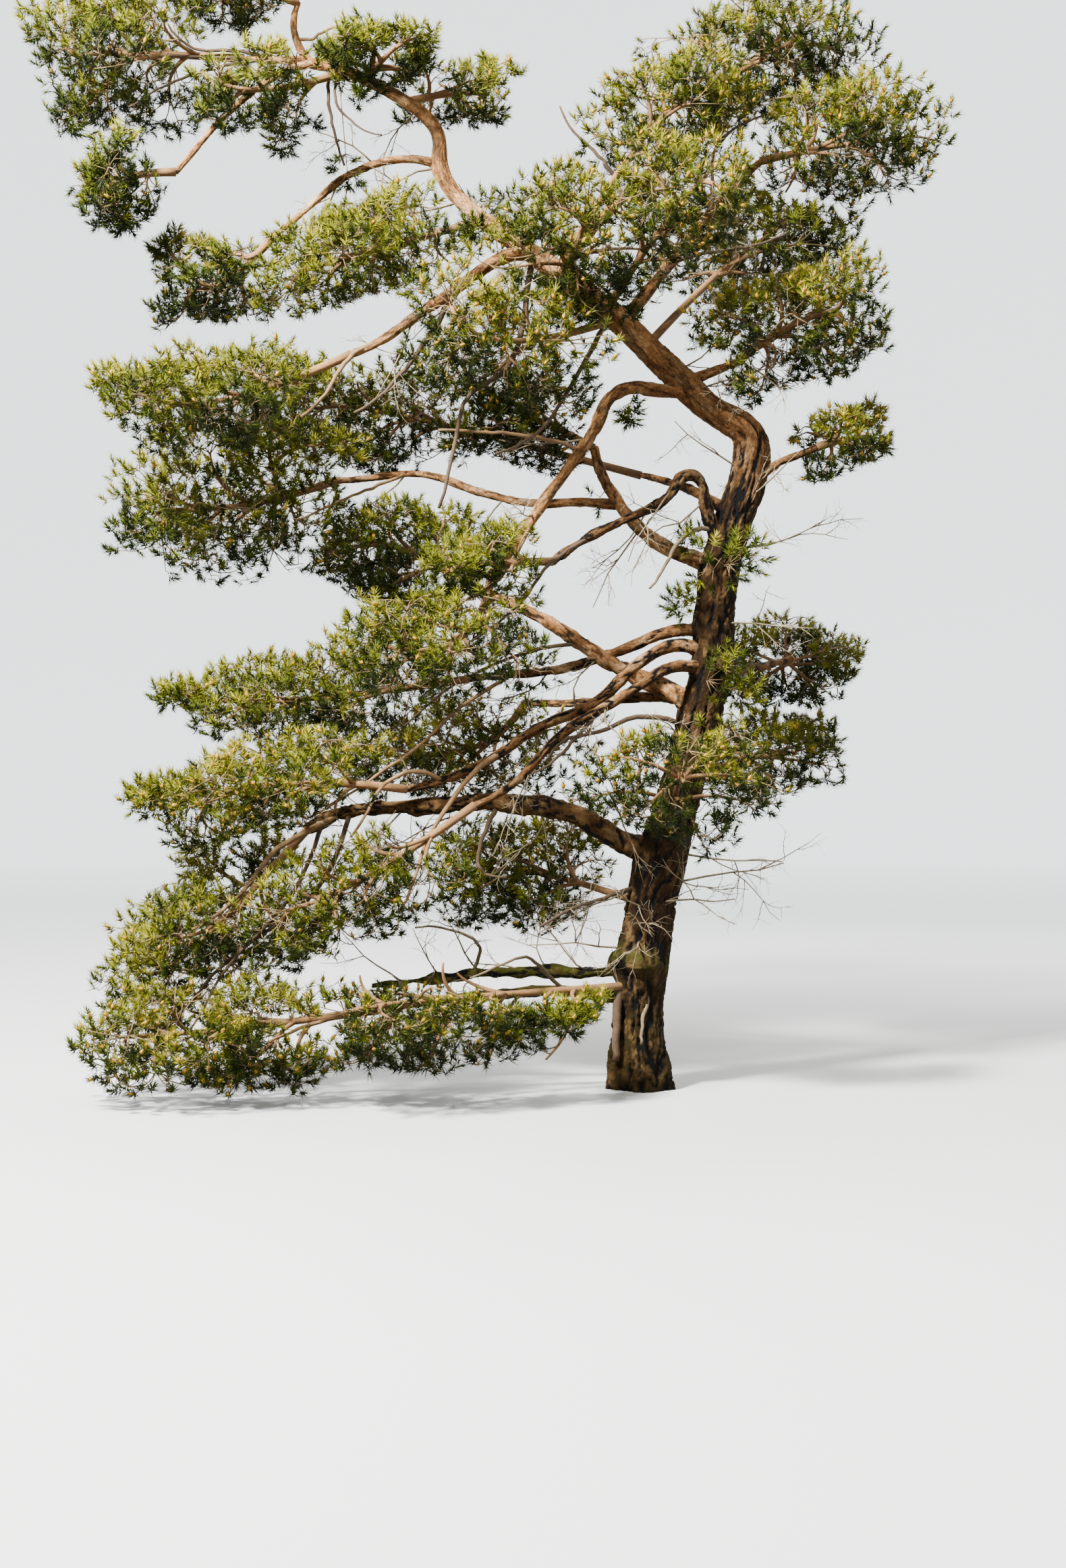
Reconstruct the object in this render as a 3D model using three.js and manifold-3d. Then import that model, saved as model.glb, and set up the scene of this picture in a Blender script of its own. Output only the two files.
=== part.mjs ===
// A gnarled Scots pine of nearly nine metres, rooted in level ground. Millimetres, +Z up.
// The trunk leans to +X, turns back at an elbow and runs out to -X, so the crown hangs to that side.
// The origin is the middle of the flat cut under the trunk, and +Y is the side away from the viewer.
// The tree is one trunk, its boughs, and masses of foliage that each grow from one stem.
import * as THREE from 'three';
import { mergeVertices } from 'three/addons/utils/BufferGeometryUtils.js';
import Module from 'manifold-3d';

const wasm = await Module();
wasm.setup();

// Trunk
// Each row is a run along the centre line, then its lean toward +X and its sway toward +Y in degrees.
const TRUNK_LENGTH = 9390;
const TRUNK_BENDS = [
  [0, 0, 0], [60, 0, 0], [500, 1, 2], [1100, 7, 2], [1700, 16, 1], [2400, 14, 0], [3000, 17, -1],
  [3400, -2, -2], [3800, 9, -1], [4300, 19, 2], [4520, 21, 4], [4670, 8, 5], [4850, 5, 4],
  [4960, -28, 2], [5070, -63, 0], [5250, -61, -4], [5420, -46, -7], [5900, -47, -8], [6500, -51, -5],
  [7100, -58, -2], [7500, -53, 2], [7750, -42, 4], [7950, -20, 2], [8150, 7, 0], [8350, -43, 1],
  [8600, -58, 2], [9000, -65, 2], [9390, -83, 0],
];
// Each row is a run along the centre line and the diameter there.
const TRUNK_GIRTHS = [
  [0, 410], [220, 360], [560, 345], [900, 380], [1200, 385], [1570, 385], [2090, 330], [2600, 305],
  [3620, 275], [4850, 255], [5200, 200], [5800, 202], [6200, 185], [6900, 155], [7400, 133], [7900, 117],
  [8600, 92], [9390, 70],
];
const TRUNK_SIDES = 12;
const TRUNK_RINGS = 34;
// The trunk is a little oval, and the oval turns by one radian over this run.
const TRUNK_OVAL = 0.05;
const OVAL_TURN_RUN = 900;
const FLARE_SPREAD = 62;
const FLARE_FADE = 170;
const FLARE_LOBES = 5;

// Boughs
// at is the run along the parent's centre line where the bough starts, root and tip are its diameters,
// and course is its azimuth and pitch in degrees at even shares of its length.
const LIMBS = [
  { name: 'low_bough', parent: 'trunk', at: 1730, length: 2780, root: 165, tip: 88,
    course: [[190, 17], [186, 32], [182, 3], [178, -5], [174, -1], [172, -33]] },
  { name: 'shelf_stub', parent: 'trunk', at: 870, length: 2050, root: 95, tip: 60,
    course: [[170, -4], [174, 1], [178, -7], [180, -7]] },
  { name: 'swept_bough', parent: 'trunk', at: 3170, length: 2670, root: 100, tip: 52,
    course: [[196, 68], [192, -23], [188, -50], [184, -17], [180, -37], [180, -23], [180, -9]] },
  { name: 'upper_swept_bough', parent: 'trunk', at: 3430, length: 1930, root: 95, tip: 50,
    course: [[162, 19], [168, -23], [174, -18], [178, -4], [182, -7]] },
  { name: 'front_swept_bough', parent: 'trunk', at: 3130, length: 2230, root: 88, tip: 48,
    course: [[215, 25], [208, -32], [200, -27], [190, -51], [184, -19]] },
  { name: 'crossing_bough', parent: 'trunk', at: 2790, length: 2040, root: 150, tip: 62,
    course: [[170, 58], [166, 20], [164, 31], [166, 36], [168, 23], [170, 25]] },
  { name: 'hook_bough', parent: 'trunk', at: 3940, length: 2030, root: 105, tip: 44,
    course: [[218, 87], [210, 60], [205, 88], [200, -63], [196, -24], [190, -25], [190, -31], [188, -40]] },
  { name: 'rising_bough', parent: 'trunk', at: 3900, length: 1440, root: 120, tip: 75,
    course: [[168, 32], [166, 17], [164, 39], [166, 50], [170, 64], [175, 81]] },
  { name: 'long_bough', parent: 'rising_bough', at: 940, length: 2260, root: 68, tip: 48,
    course: [[172, 9], [166, -2], [164, 15], [170, 23], [176, -9], [180, -1]] },
  { name: 'orange_bough', parent: 'trunk', at: 5530, length: 2280, root: 98, tip: 65,
    course: [[200, -13], [200, 7], [196, -69], [192, -53], [188, -54], [186, -57], [184, -53]] },
  { name: 'third_bough', parent: 'trunk', at: 6930, length: 1730, root: 95, tip: 60,
    course: [[205, 30], [202, -28], [198, -40], [194, -35], [190, -38], [186, -18]] },
  { name: 'second_bough', parent: 'trunk', at: 8010, length: 1410, root: 60, tip: 44,
    course: [[184, 24], [180, -4], [176, -19], [174, -38], [174, -41], [174, -34]] },
  { name: 'crown_left_bough', parent: 'trunk', at: 9380, length: 510, root: 62, tip: 46,
    course: [[176, 6], [174, 4], [172, 6]] },
  { name: 'crown_up_bough', parent: 'trunk', at: 9270, length: 610, root: 54, tip: 42,
    course: [[170, 3], [168, 59], [166, 84], [166, 123]] },
  { name: 'crown_hanging_bough', parent: 'trunk', at: 9330, length: 1380, root: 50, tip: 42,
    course: [[192, -12], [191, -34], [190, -44], [189, -52], [188, -50]] },
  { name: 'right_bough', parent: 'trunk', at: 5570, length: 460, root: 75, tip: 50,
    course: [[4, 36], [350, 19], [346, 17], [344, 17]] },
  { name: 'upper_right_bough', parent: 'trunk', at: 6220, length: 1840, root: 90, tip: 50,
    course: [[20, 49], [24, 52], [28, 47], [28, 43]] },
  { name: 'top_right_bough', parent: 'trunk', at: 6810, length: 2230, root: 95, tip: 50,
    course: [[60, 45], [50, 40], [40, 42], [36, 33]] },
  { name: 'right_mid_bough', parent: 'trunk', at: 4540, length: 630, root: 62, tip: 44,
    course: [[344, 36], [346, 39], [350, 16], [354, 25]] },
  { name: 'back_low_bough', parent: 'trunk', at: 2250, length: 1150, root: 90, tip: 50,
    course: [[58, 25], [62, 5], [66, 10]] },
  { name: 'back_mid_bough', parent: 'trunk', at: 4310, length: 1250, root: 85, tip: 48,
    course: [[128, 35], [125, 20], [120, 12]] },
  { name: 'back_right_bough', parent: 'trunk', at: 3050, length: 1300, root: 85, tip: 48,
    course: [[48, 20], [54, 8], [60, 10]] },
  { name: 'back_left_bough', parent: 'trunk', at: 2920, length: 1700, root: 85, tip: 48,
    course: [[140, 10], [142, -5], [148, 5]] },
  { name: 'low_left_bough', parent: 'trunk', at: 640, length: 2000, root: 90, tip: 55,
    course: [[196, 14], [194, -4], [190, -8]] },
];
const LIMB_SIDES = 6;
const LIMB_RING_SPACING = 300;
const LIMB_TAPER = 0.9;
// A bough swells toward its root by this share of its root diameter, fading over this run.
const COLLAR_SHARE = 0.3;
const COLLAR_FADE = 220;
// Centre lines are followed in steps of this length, and a heading is read over this run each way.
const PATH_STEP = 10;
const HEADING_SPAN = 40;
const MOSTLY = 0.8;
// Limbs that meet stay this far clear of each other.
const CLEARANCE = 0.3;

// Masses of foliage
// at is where the stem leaves the trunk (a bough's mass starts at its tip), middle is the middle of the
// mass, half is half its length, width and thickness, and tilt is its lengthwise pitch.
const MASSES = [
  { name: 'low_left_mass', limb: 'low_bough',
    middle: [-3150, 0, 1180], half: [980, 860, 490], tilt: -38 },
  { name: 'swept_mass', limb: 'swept_bough',
    middle: [-2540, -300, 2250], half: [1140, 780, 365], tilt: -12 },
  { name: 'upper_swept_mass', limb: 'upper_swept_bough',
    middle: [-2430, 350, 2900], half: [1120, 740, 340], tilt: -2 },
  { name: 'front_swept_mass', limb: 'front_swept_bough',
    middle: [-1960, -650, 1600], half: [1060, 700, 450], tilt: -24 },
  { name: 'crossing_mass', limb: 'crossing_bough',
    middle: [-1830, 600, 4070], half: [880, 700, 390], tilt: 8 },
  { name: 'hook_mass', limb: 'hook_bough',
    middle: [-1100, -500, 3830], half: [560, 540, 300], tilt: -10 },
  { name: 'rising_mass', limb: 'rising_bough',
    middle: [-790, 250, 5010], half: [580, 620, 370], tilt: 15 },
  { name: 'long_mass', limb: 'long_bough',
    middle: [-2980, 500, 4390], half: [1130, 780, 530], tilt: -4 },
  { name: 'orange_mass', limb: 'orange_bough',
    middle: [-1320, -450, 3290], half: [1020, 780, 420], tilt: -8 },
  { name: 'third_mass', limb: 'third_bough',
    middle: [-2910, -550, 5010], half: [980, 780, 375], tilt: -4 },
  { name: 'second_mass', limb: 'second_bough',
    middle: [-3070, 20, 5990], half: [560, 560, 370], tilt: -12 },
  { name: 'crown_hanging_mass', limb: 'crown_hanging_bough',
    middle: [-3780, -350, 6620], half: [420, 350, 300], tilt: -52 },
  { name: 'crown_top_mass', limb: 'crown_up_bough',
    middle: [-3050, -80, 8180], half: [740, 660, 330], tilt: 8 },
  { name: 'crown_left_mass', limb: 'crown_left_bough',
    middle: [-3770, 50, 7680], half: [780, 680, 520], tilt: 0 },
  { name: 'right_mass', limb: 'right_bough',
    middle: [1000, -200, 5550], half: [880, 680, 420], tilt: 14 },
  { name: 'upper_right_mass', limb: 'upper_right_bough',
    middle: [1490, 600, 7160], half: [900, 780, 490], tilt: 10 },
  { name: 'top_right_mass', limb: 'top_right_bough',
    middle: [920, 1050, 7970], half: [1060, 840, 480], tilt: 12 },
  { name: 'right_mid_mass', limb: 'right_mid_bough',
    middle: [1450, -50, 4780], half: [440, 480, 250], tilt: 10 },
  { name: 'back_low_mass', limb: 'back_low_bough',
    middle: [1080, 1500, 2480], half: [800, 750, 400], tilt: 5 },
  { name: 'back_mid_mass', limb: 'back_mid_bough',
    middle: [-1960, 1000, 5190], half: [1060, 780, 450], tilt: 3 },
  { name: 'back_right_mass', limb: 'back_right_bough',
    middle: [1260, 1500, 3220], half: [660, 680, 390], tilt: 5 },
  { name: 'back_left_mass', limb: 'back_left_bough',
    middle: [-1270, 950, 2530], half: [1200, 800, 470], tilt: 0 },
  { name: 'low_far_mass', limb: 'low_left_bough',
    middle: [-2990, -650, 510], half: [1180, 860, 380], tilt: -3 },
  { name: 'below_second_mass', limb: 'trunk', at: 7480,
    middle: [-1900, -200, 6170], half: [1050, 680, 370], tilt: -18 },
  { name: 'crown_right_mass', limb: 'trunk', at: 8590,
    middle: [-1400, 100, 7400], half: [580, 540, 290], tilt: 8 },
  { name: 'crown_over_mass', limb: 'trunk', at: 8970,
    middle: [-1920, -280, 7480], half: [480, 560, 280], tilt: 10 },
  { name: 'crown_under_mass', limb: 'trunk', at: 9090,
    middle: [-2670, -350, 7280], half: [700, 500, 300], tilt: -5 },
  { name: 'leader_mass', limb: 'trunk', at: 6800,
    middle: [-490, -560, 6050], half: [640, 700, 520], tilt: 25 },
  { name: 'leader_top_mass', limb: 'trunk', at: 6820,
    middle: [160, 150, 7230], half: [800, 680, 430], tilt: 18 },
  { name: 'leader_front_mass', limb: 'trunk', at: 6370,
    middle: [170, -600, 6270], half: [760, 700, 470], tilt: 25 },
  { name: 'under_leader_mass', limb: 'trunk', at: 6270,
    middle: [-920, -550, 5410], half: [900, 690, 430], tilt: 12 },
  { name: 'back_high_mass', limb: 'trunk', at: 5970,
    middle: [920, 1000, 6480], half: [950, 850, 500], tilt: 8 },
  { name: 'front_mass', limb: 'trunk', at: 1850,
    middle: [240, -650, 2260], half: [600, 780, 440], tilt: 0 },
  { name: 'low_back_mass', limb: 'trunk', at: 1350,
    middle: [-790, 700, 1570], half: [900, 700, 430], tilt: -4 },
  { name: 'low_front_mass', limb: 'trunk', at: 760,
    middle: [-1500, -850, 740], half: [1000, 780, 380], tilt: -3 },
];

// The stem of a mass starts a little inside its bough's tip and ends this share past the middle.
const STEM_SINK = 20;
const STEM_PAST_MIDDLE = 0.55;
const STEM_POINTS = 24;
const STEM_SEGMENTS = 5;
const STEM_GIRTH = 40;
const STEM_TIP_GIRTH = 18;
// Twigs may leave the stem at these stations, and slant forward by this share of their way out.
const STEM_STATIONS = 12;
const FIRST_STATION = 3;
const BRANCH_SLANT = 0.5;
const TWIG_GIRTH = 20;
const TWIG_TIP_GIRTH = 13;

// Sprays of needles
// A mass of the usual half size has the usual number of sprays, and a larger one has more.
const USUAL_HALF = [750, 700, 350];
const USUAL_SPRAYS = 9;
const MOST_SPRAYS = 13;
const FEWEST_SPRAYS = 7;
const GOLDEN_TURN = Math.PI * (3 - Math.sqrt(5));
// Their middles lie from the far end to near the root, in shares of the half length, and so far out.
const FAR_PLACE = 0.96;
const NEAR_PLACE = -0.66;
const LEAST_OUT = 0.62;
const MOST_OUT = 0.8;
// A spray's size is a share of the mass's mean half size. Its core and spikes are shares of its size,
// and its spikes slant forward and back from the twig's heading by these angles.
const SPRAY_SIZE = 0.58;
const SPRAY_CORE = 0.45;
const SPRAY_NECK = 0.36;
const SPRAY_FORWARD = 42;
const SPRAY_BACKWARD = 104;
const SPRAY_BACK_LENGTH = 0.8;
const SPRAY_FLATTEN = 1.15;
// A spray that has no room is tried smaller, and one that would still leave the space is skipped.
const SPRAY_SIZES_TRIED = [1, 0.82, 0.66];
const SPRAY_MARGIN = 1.04;
const SPACE_EDGE = 1.2;

const COLOURS = {
  trunk: [0x4b3f36, 0.95],
  bough: [0x8a5a3c, 0.9],
  foliage: [0x5f6b2a, 0.85],
};

const rad = THREE.MathUtils.degToRad;

// A repeatable value from 0 to 1 for a pair of whole numbers
function chance(seed, count) {
  const x = Math.sin(seed * 127.1 + count * 311.7) * 43758.5453;
  return x - Math.floor(x);
}

// The value at x in rows of [x, value, ...], read between rows in a straight line
function readBetween(rows, x, column) {
  let i = 1;
  while (i < rows.length - 1 && rows[i][0] < x) i += 1;
  const share = THREE.MathUtils.clamp((x - rows[i - 1][0]) / (rows[i][0] - rows[i - 1][0]), 0, 1);
  return rows[i - 1][column] + (rows[i][column] - rows[i - 1][column]) * share;
}

function direction(azimuth, pitch) {
  const level = Math.cos(rad(pitch));
  return new THREE.Vector3(
    Math.cos(rad(azimuth)) * level,
    Math.sin(rad(azimuth)) * level,
    Math.sin(rad(pitch)),
  );
}

// A path of points, read by its run from the start
class Path {
  constructor(points) {
    this.points = points;
    this.runs = [0];
    for (let i = 1; i < points.length; i += 1) {
      this.runs.push(this.runs[i - 1] + points[i].distanceTo(points[i - 1]));
    }
    this.length = this.runs[points.length - 1];
  }

  pointAt(run) {
    let i = 1;
    while (i < this.points.length - 1 && this.runs[i] < run) i += 1;
    const share = (run - this.runs[i - 1]) / (this.runs[i] - this.runs[i - 1]);
    return this.points[i - 1].clone().lerp(this.points[i], THREE.MathUtils.clamp(share, 0, 1));
  }

  headingAt(run) {
    const span = Math.min(HEADING_SPAN, this.length / 4);
    const back = this.pointAt(Math.max(run - span, 0));
    return this.pointAt(Math.min(run + span, this.length)).sub(back).normalize();
  }
}

function trunkPath() {
  const points = [new THREE.Vector3()];
  const steps = TRUNK_LENGTH / PATH_STEP;
  for (let i = 0; i < steps; i += 1) {
    const run = (i + 0.5) * PATH_STEP;
    const lean = rad(readBetween(TRUNK_BENDS, run, 1));
    const sway = rad(readBetween(TRUNK_BENDS, run, 2));
    const heading = new THREE.Vector3(Math.sin(lean), Math.sin(sway), Math.cos(lean)).normalize();
    points.push(points[i].clone().addScaledVector(heading, PATH_STEP));
  }
  return new Path(points);
}

function limbPath(limb, start) {
  const points = [start];
  const steps = Math.round(limb.length / PATH_STEP);
  const course = limb.course.map(([azimuth, pitch], i) => [i / (limb.course.length - 1), azimuth, pitch]);
  for (let i = 0; i < steps; i += 1) {
    const share = (i + 0.5) / steps;
    const heading = direction(wrapped(course, share), readBetween(course, share, 2));
    points.push(points[i].clone().addScaledVector(heading, limb.length / steps));
  }
  return new Path(points);
}

// The azimuth read between rows the short way round
function wrapped(course, share) {
  const rows = course.map(([at, azimuth]) => [at, azimuth - course[0][1]]);
  const turned = rows.map(([at, turn]) => [at, ((turn + 540) % 360) - 180]);
  return readBetween(turned, share, 1) + course[0][1];
}

// The sections along a path: the middle of each and two directions across, carried without twist
function sectionsAlong(path, runs) {
  const sections = [];
  const startsAlongX = Math.abs(path.headingAt(0).x) > MOSTLY;
  let across = startsAlongX ? new THREE.Vector3(0, 1, 0) : new THREE.Vector3(1, 0, 0);
  for (const run of runs) {
    const heading = run === 0 ? path.points[1].clone().sub(path.points[0]).normalize() : path.headingAt(run);
    across = across.clone().addScaledVector(heading, -across.dot(heading)).normalize();
    const side = across.clone().cross(heading).normalize();
    sections.push({ run, middle: path.pointAt(run), heading, across, side });
  }
  return sections;
}

// A round limb: a cylinder whose rings are moved to the sections, grown outward by a few tenths if asked
function limbGeometry(sections, sides, radiusAt, grown) {
  const last = sections.length - 1;
  const geometry = new THREE.CylinderGeometry(1, 1, 1, sides, last);
  const position = geometry.getAttribute('position');
  const outward = grown / Math.cos(Math.PI / sides);
  for (let i = 0; i < position.count; i += 1) {
    const ring = Math.round((position.getY(i) + 0.5) * last);
    const section = sections[ring];
    const x = position.getX(i);
    const z = position.getZ(i);
    const point = section.middle.clone();
    if (Math.hypot(x, z) > 0.5) {
      const radius = radiusAt(section.run, Math.atan2(x, z)) + outward;
      point.addScaledVector(section.across, x * radius).addScaledVector(section.side, z * radius);
    }
    if (ring === 0) point.addScaledVector(section.heading, -grown);
    if (ring === last) point.addScaledVector(section.heading, grown);
    position.setXYZ(i, point.x, point.y, point.z);
  }
  return geometry;
}

function evenRuns(length, count) {
  return Array.from({ length: count + 1 }, (_, i) => (length * i) / count);
}

function trunkRadius(run, angle) {
  const flare = FLARE_SPREAD * Math.exp(-run / FLARE_FADE) * (0.5 + 0.5 * Math.cos(FLARE_LOBES * angle));
  const oval = 1 + TRUNK_OVAL * Math.sin(2 * angle + run / OVAL_TURN_RUN);
  return (readBetween(TRUNK_GIRTHS, run, 1) / 2) * oval + flare;
}

function limbRadius(limb, run) {
  const left = Math.max(1 - run / limb.length, 0);
  const collar = COLLAR_SHARE * limb.root * Math.exp(-run / COLLAR_FADE);
  return (limb.tip + (limb.root - limb.tip) * left ** LIMB_TAPER + collar) / 2;
}

// Meshes to solids and back
function toSolid(geometry) {
  geometry.deleteAttribute('normal');
  geometry.deleteAttribute('uv');
  const merged = mergeVertices(geometry, 1e-4);
  return new wasm.Manifold(new wasm.Mesh({
    numProp: 3,
    vertProperties: new Float32Array(merged.getAttribute('position').array),
    triVerts: new Uint32Array(merged.index.array),
  }));
}

// The largest closed shell of a solid as a geometry, so that loose scraps and sealed hollows go
function largestShell(solid) {
  const mesh = solid.getMesh();
  const leader = Array.from({ length: mesh.vertProperties.length / 3 }, (_, i) => i);
  const find = (i) => {
    while (leader[i] !== i) i = leader[i];
    return i;
  };
  for (let t = 0; t < mesh.triVerts.length; t += 3) {
    const root = find(mesh.triVerts[t]);
    leader[find(mesh.triVerts[t + 1])] = root;
    leader[find(mesh.triVerts[t + 2])] = root;
  }
  const corner = (i) => new THREE.Vector3().fromArray(mesh.vertProperties, mesh.triVerts[i] * 3);
  const volumes = new Map();
  for (let t = 0; t < mesh.triVerts.length; t += 3) {
    const shell = find(mesh.triVerts[t]);
    const volume = corner(t).dot(corner(t + 1).cross(corner(t + 2))) / 6;
    volumes.set(shell, (volumes.get(shell) ?? 0) + volume);
  }
  const kept = [...volumes].sort((a, b) => b[1] - a[1])[0][0];
  const positions = [];
  for (let t = 0; t < mesh.triVerts.length; t += 3) {
    if (find(mesh.triVerts[t]) === kept) {
      for (let i = t; i < t + 3; i += 1) positions.push(...corner(i).toArray());
    }
  }
  const geometry = new THREE.BufferGeometry();
  geometry.setAttribute('position', new THREE.Float32BufferAttribute(positions, 3));
  return mergeVertices(geometry, 1e-4);
}

function boxOf(geometry) {
  geometry.computeBoundingBox();
  return geometry.boundingBox.clone();
}

function overlaps(solid, box, others) {
  const near = others.filter((other) => other.box.intersectsBox(box));
  return near.some((other) => solid.intersect(other.solid).getMesh().triVerts.length > 0);
}

function finishedMesh(name, geometry, kind) {
  geometry.computeVertexNormals();
  const [color, roughness] = COLOURS[kind];
  const mesh = new THREE.Mesh(geometry, new THREE.MeshStandardMaterial({ color, roughness, metalness: 0 }));
  mesh.name = name;
  return mesh;
}

// Trunk and boughs
const tree = new THREE.Group();
const paths = { trunk: trunkPath() };
const grownLimbs = [];

function addLimb(name, geometryGrownBy, kind) {
  let solid = toSolid(geometryGrownBy(0));
  const box = boxOf(geometryGrownBy(0));
  for (const other of grownLimbs) {
    if (other.box.intersectsBox(box)) solid = solid.subtract(other.solid);
  }
  const grownGeometry = geometryGrownBy(CLEARANCE);
  grownLimbs.push({ name, box: boxOf(grownGeometry), solid: toSolid(grownGeometry) });
  tree.add(finishedMesh(name, largestShell(solid), kind));
}

const trunkSections = sectionsAlong(paths.trunk, evenRuns(paths.trunk.length, TRUNK_RINGS));
addLimb('trunk', (grown) => limbGeometry(trunkSections, TRUNK_SIDES, trunkRadius, grown), 'trunk');

for (const limb of LIMBS) {
  const path = limbPath(limb, paths[limb.parent].pointAt(limb.at));
  paths[limb.name] = path;
  const rings = Math.ceil(limb.length / LIMB_RING_SPACING);
  const sections = sectionsAlong(path, evenRuns(path.length, rings));
  const radiusAt = (run) => limbRadius(limb, run);
  addLimb(limb.name, (grown) => limbGeometry(sections, LIMB_SIDES, radiusAt, grown), 'bough');
}

// The space of a mass: its middle and its own three directions
function massSpace(mass, index) {
  const limb = paths[mass.limb];
  const root = limb.pointAt(mass.at ?? limb.length - STEM_SINK);
  const middle = new THREE.Vector3(...mass.middle);
  const azimuth = THREE.MathUtils.radToDeg(Math.atan2(middle.y - root.y, middle.x - root.x));
  const along = direction(azimuth, mass.tilt);
  const across = new THREE.Vector3(0, 0, 1).cross(along).normalize();
  const up = along.clone().cross(across);
  return { ...mass, seed: index + 1, root, middle, along, across, up };
}

// How far out a point lies in a mass's space: 0 in its middle, 1 on its edge
function farOut(space, point) {
  const from = point.clone().sub(space.middle);
  return Math.hypot(
    from.dot(space.along) / space.half[0],
    from.dot(space.across) / space.half[1],
    from.dot(space.up) / space.half[2],
  );
}

// The stem bends from its limb through the middle of the mass
function stemPath(space) {
  const end = space.middle.clone().addScaledVector(space.along, space.half[0] * STEM_PAST_MIDDLE);
  const bend = space.middle.clone().multiplyScalar(2);
  bend.addScaledVector(space.root, -0.5).addScaledVector(end, -0.5);
  return new Path(new THREE.QuadraticBezierCurve3(space.root, bend, end).getPoints(STEM_POINTS));
}

// Where each spray sits: a golden spiral from the far end of the mass back toward its root
function sprayPlaces(space) {
  const scale = Math.sqrt(
    (space.half[0] * space.half[1] * space.half[2]) / (USUAL_HALF[0] * USUAL_HALF[1] * USUAL_HALF[2]),
  );
  const count = THREE.MathUtils.clamp(Math.round(USUAL_SPRAYS * scale), FEWEST_SPRAYS, MOST_SPRAYS);
  return Array.from({ length: count }, (_, i) => {
    const along = THREE.MathUtils.lerp(FAR_PLACE, NEAR_PLACE, (i + 0.5) / count);
    const around = Math.sqrt(1 - along * along);
    const turn = GOLDEN_TURN * i + space.seed;
    const share = THREE.MathUtils.lerp(LEAST_OUT, MOST_OUT, chance(space.seed, i));
    return space.middle.clone()
      .addScaledVector(space.along, along * space.half[0] * share)
      .addScaledVector(space.across, around * Math.cos(turn) * space.half[1] * share)
      .addScaledVector(space.up, around * Math.sin(turn) * space.half[2] * share);
  });
}

// A spray of needles on its twig: three sides run out to a slim core, whose faces are drawn out into spikes
function sprayGeometry(space, foot, place, size) {
  const heading = place.clone().sub(foot).normalize();
  const across = heading.clone().cross(space.up).normalize();
  const lift = heading.clone().cross(across);
  const flatness = Math.min((SPRAY_FLATTEN * space.half[2]) / space.half[1], 1);
  const off = (middle, tilt, turn, length) => middle.clone()
    .addScaledVector(heading, Math.cos(tilt) * length)
    .addScaledVector(across, Math.sin(tilt) * Math.cos(turn) * length)
    .addScaledVector(lift, Math.sin(tilt) * Math.sin(turn) * length);
  const spread = (tilt, turn, length) => {
    const point = off(place, tilt, turn, length);
    return point.addScaledVector(space.up, point.clone().sub(place).dot(space.up) * (flatness - 1));
  };
  const core = size * SPRAY_CORE;
  const neck = place.clone().addScaledVector(heading, -size * SPRAY_NECK);
  const front = spread(0, 0, core);
  const positions = [];
  const spike = (corners, tip) => {
    corners.forEach((corner, i) => positions.push(corner, corners[(i + 1) % corners.length], tip));
  };
  const turns = [0, 1, 2].map((k) => (k * 2 * Math.PI) / 3);
  const low = turns.map((turn) => off(foot, Math.PI / 2, turn, TWIG_GIRTH / 2));
  const high = turns.map((turn) => off(neck, Math.PI / 2, turn, TWIG_TIP_GIRTH / 2));
  const wide = turns.map((turn) => spread(Math.PI / 2, turn, core));
  positions.push(low[0], low[2], low[1]);
  turns.forEach((turn, k) => {
    const next = (k + 1) % 3;
    const between = turn + Math.PI / 3;
    positions.push(low[k], low[next], high[next], low[k], high[next], high[k]);
    const backTip = spread(rad(SPRAY_BACKWARD), between, size * SPRAY_BACK_LENGTH);
    spike([high[k], high[next], wide[next], wide[k]], backTip);
    spike([wide[k], wide[next], front], spread(rad(SPRAY_FORWARD), between, size));
  });
  return new THREE.BufferGeometry().setFromPoints(positions);
}

// The nearest point already grown that lies back along the stem's way from a new spray
function nearestFoot(space, grown, place) {
  const from = place.clone().sub(space.middle);
  const aside = from.clone().addScaledVector(space.along, -from.dot(space.along)).length();
  const wish = place.clone().addScaledVector(space.along, -BRANCH_SLANT * aside);
  const away = (spot) => spot.point.distanceTo(wish);
  return grown.reduce((best, spot) => (away(spot) < away(best) ? spot : best));
}

const spaces = MASSES.map(massSpace);
const stems = spaces.map((space) => {
  const path = stemPath(space);
  const sections = sectionsAlong(path, evenRuns(path.length, STEM_SEGMENTS));
  const radiusAt = (run) => THREE.MathUtils.lerp(STEM_GIRTH, STEM_TIP_GIRTH, run / path.length) / 2;
  let solid = toSolid(limbGeometry(sections, 3, radiusAt, 0));
  const box = boxOf(limbGeometry(sections, 3, radiusAt, 0));
  for (const limb of grownLimbs) {
    if (limb.box.intersectsBox(box)) solid = solid.subtract(limb.solid);
  }
  return { path, solid: toSolid(largestShell(solid)), box };
});

// Whether every corner is in this mass's space and nearer its middle than any other's
function inSpace(space, geometry) {
  const corners = geometry.getAttribute('position');
  for (let i = 0; i < corners.count; i += 1) {
    const corner = new THREE.Vector3().fromBufferAttribute(corners, i);
    const out = farOut(space, corner);
    if (out > SPACE_EDGE) return false;
    if (spaces.some((other) => other !== space && farOut(other, corner) < out)) return false;
  }
  return true;
}

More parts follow.
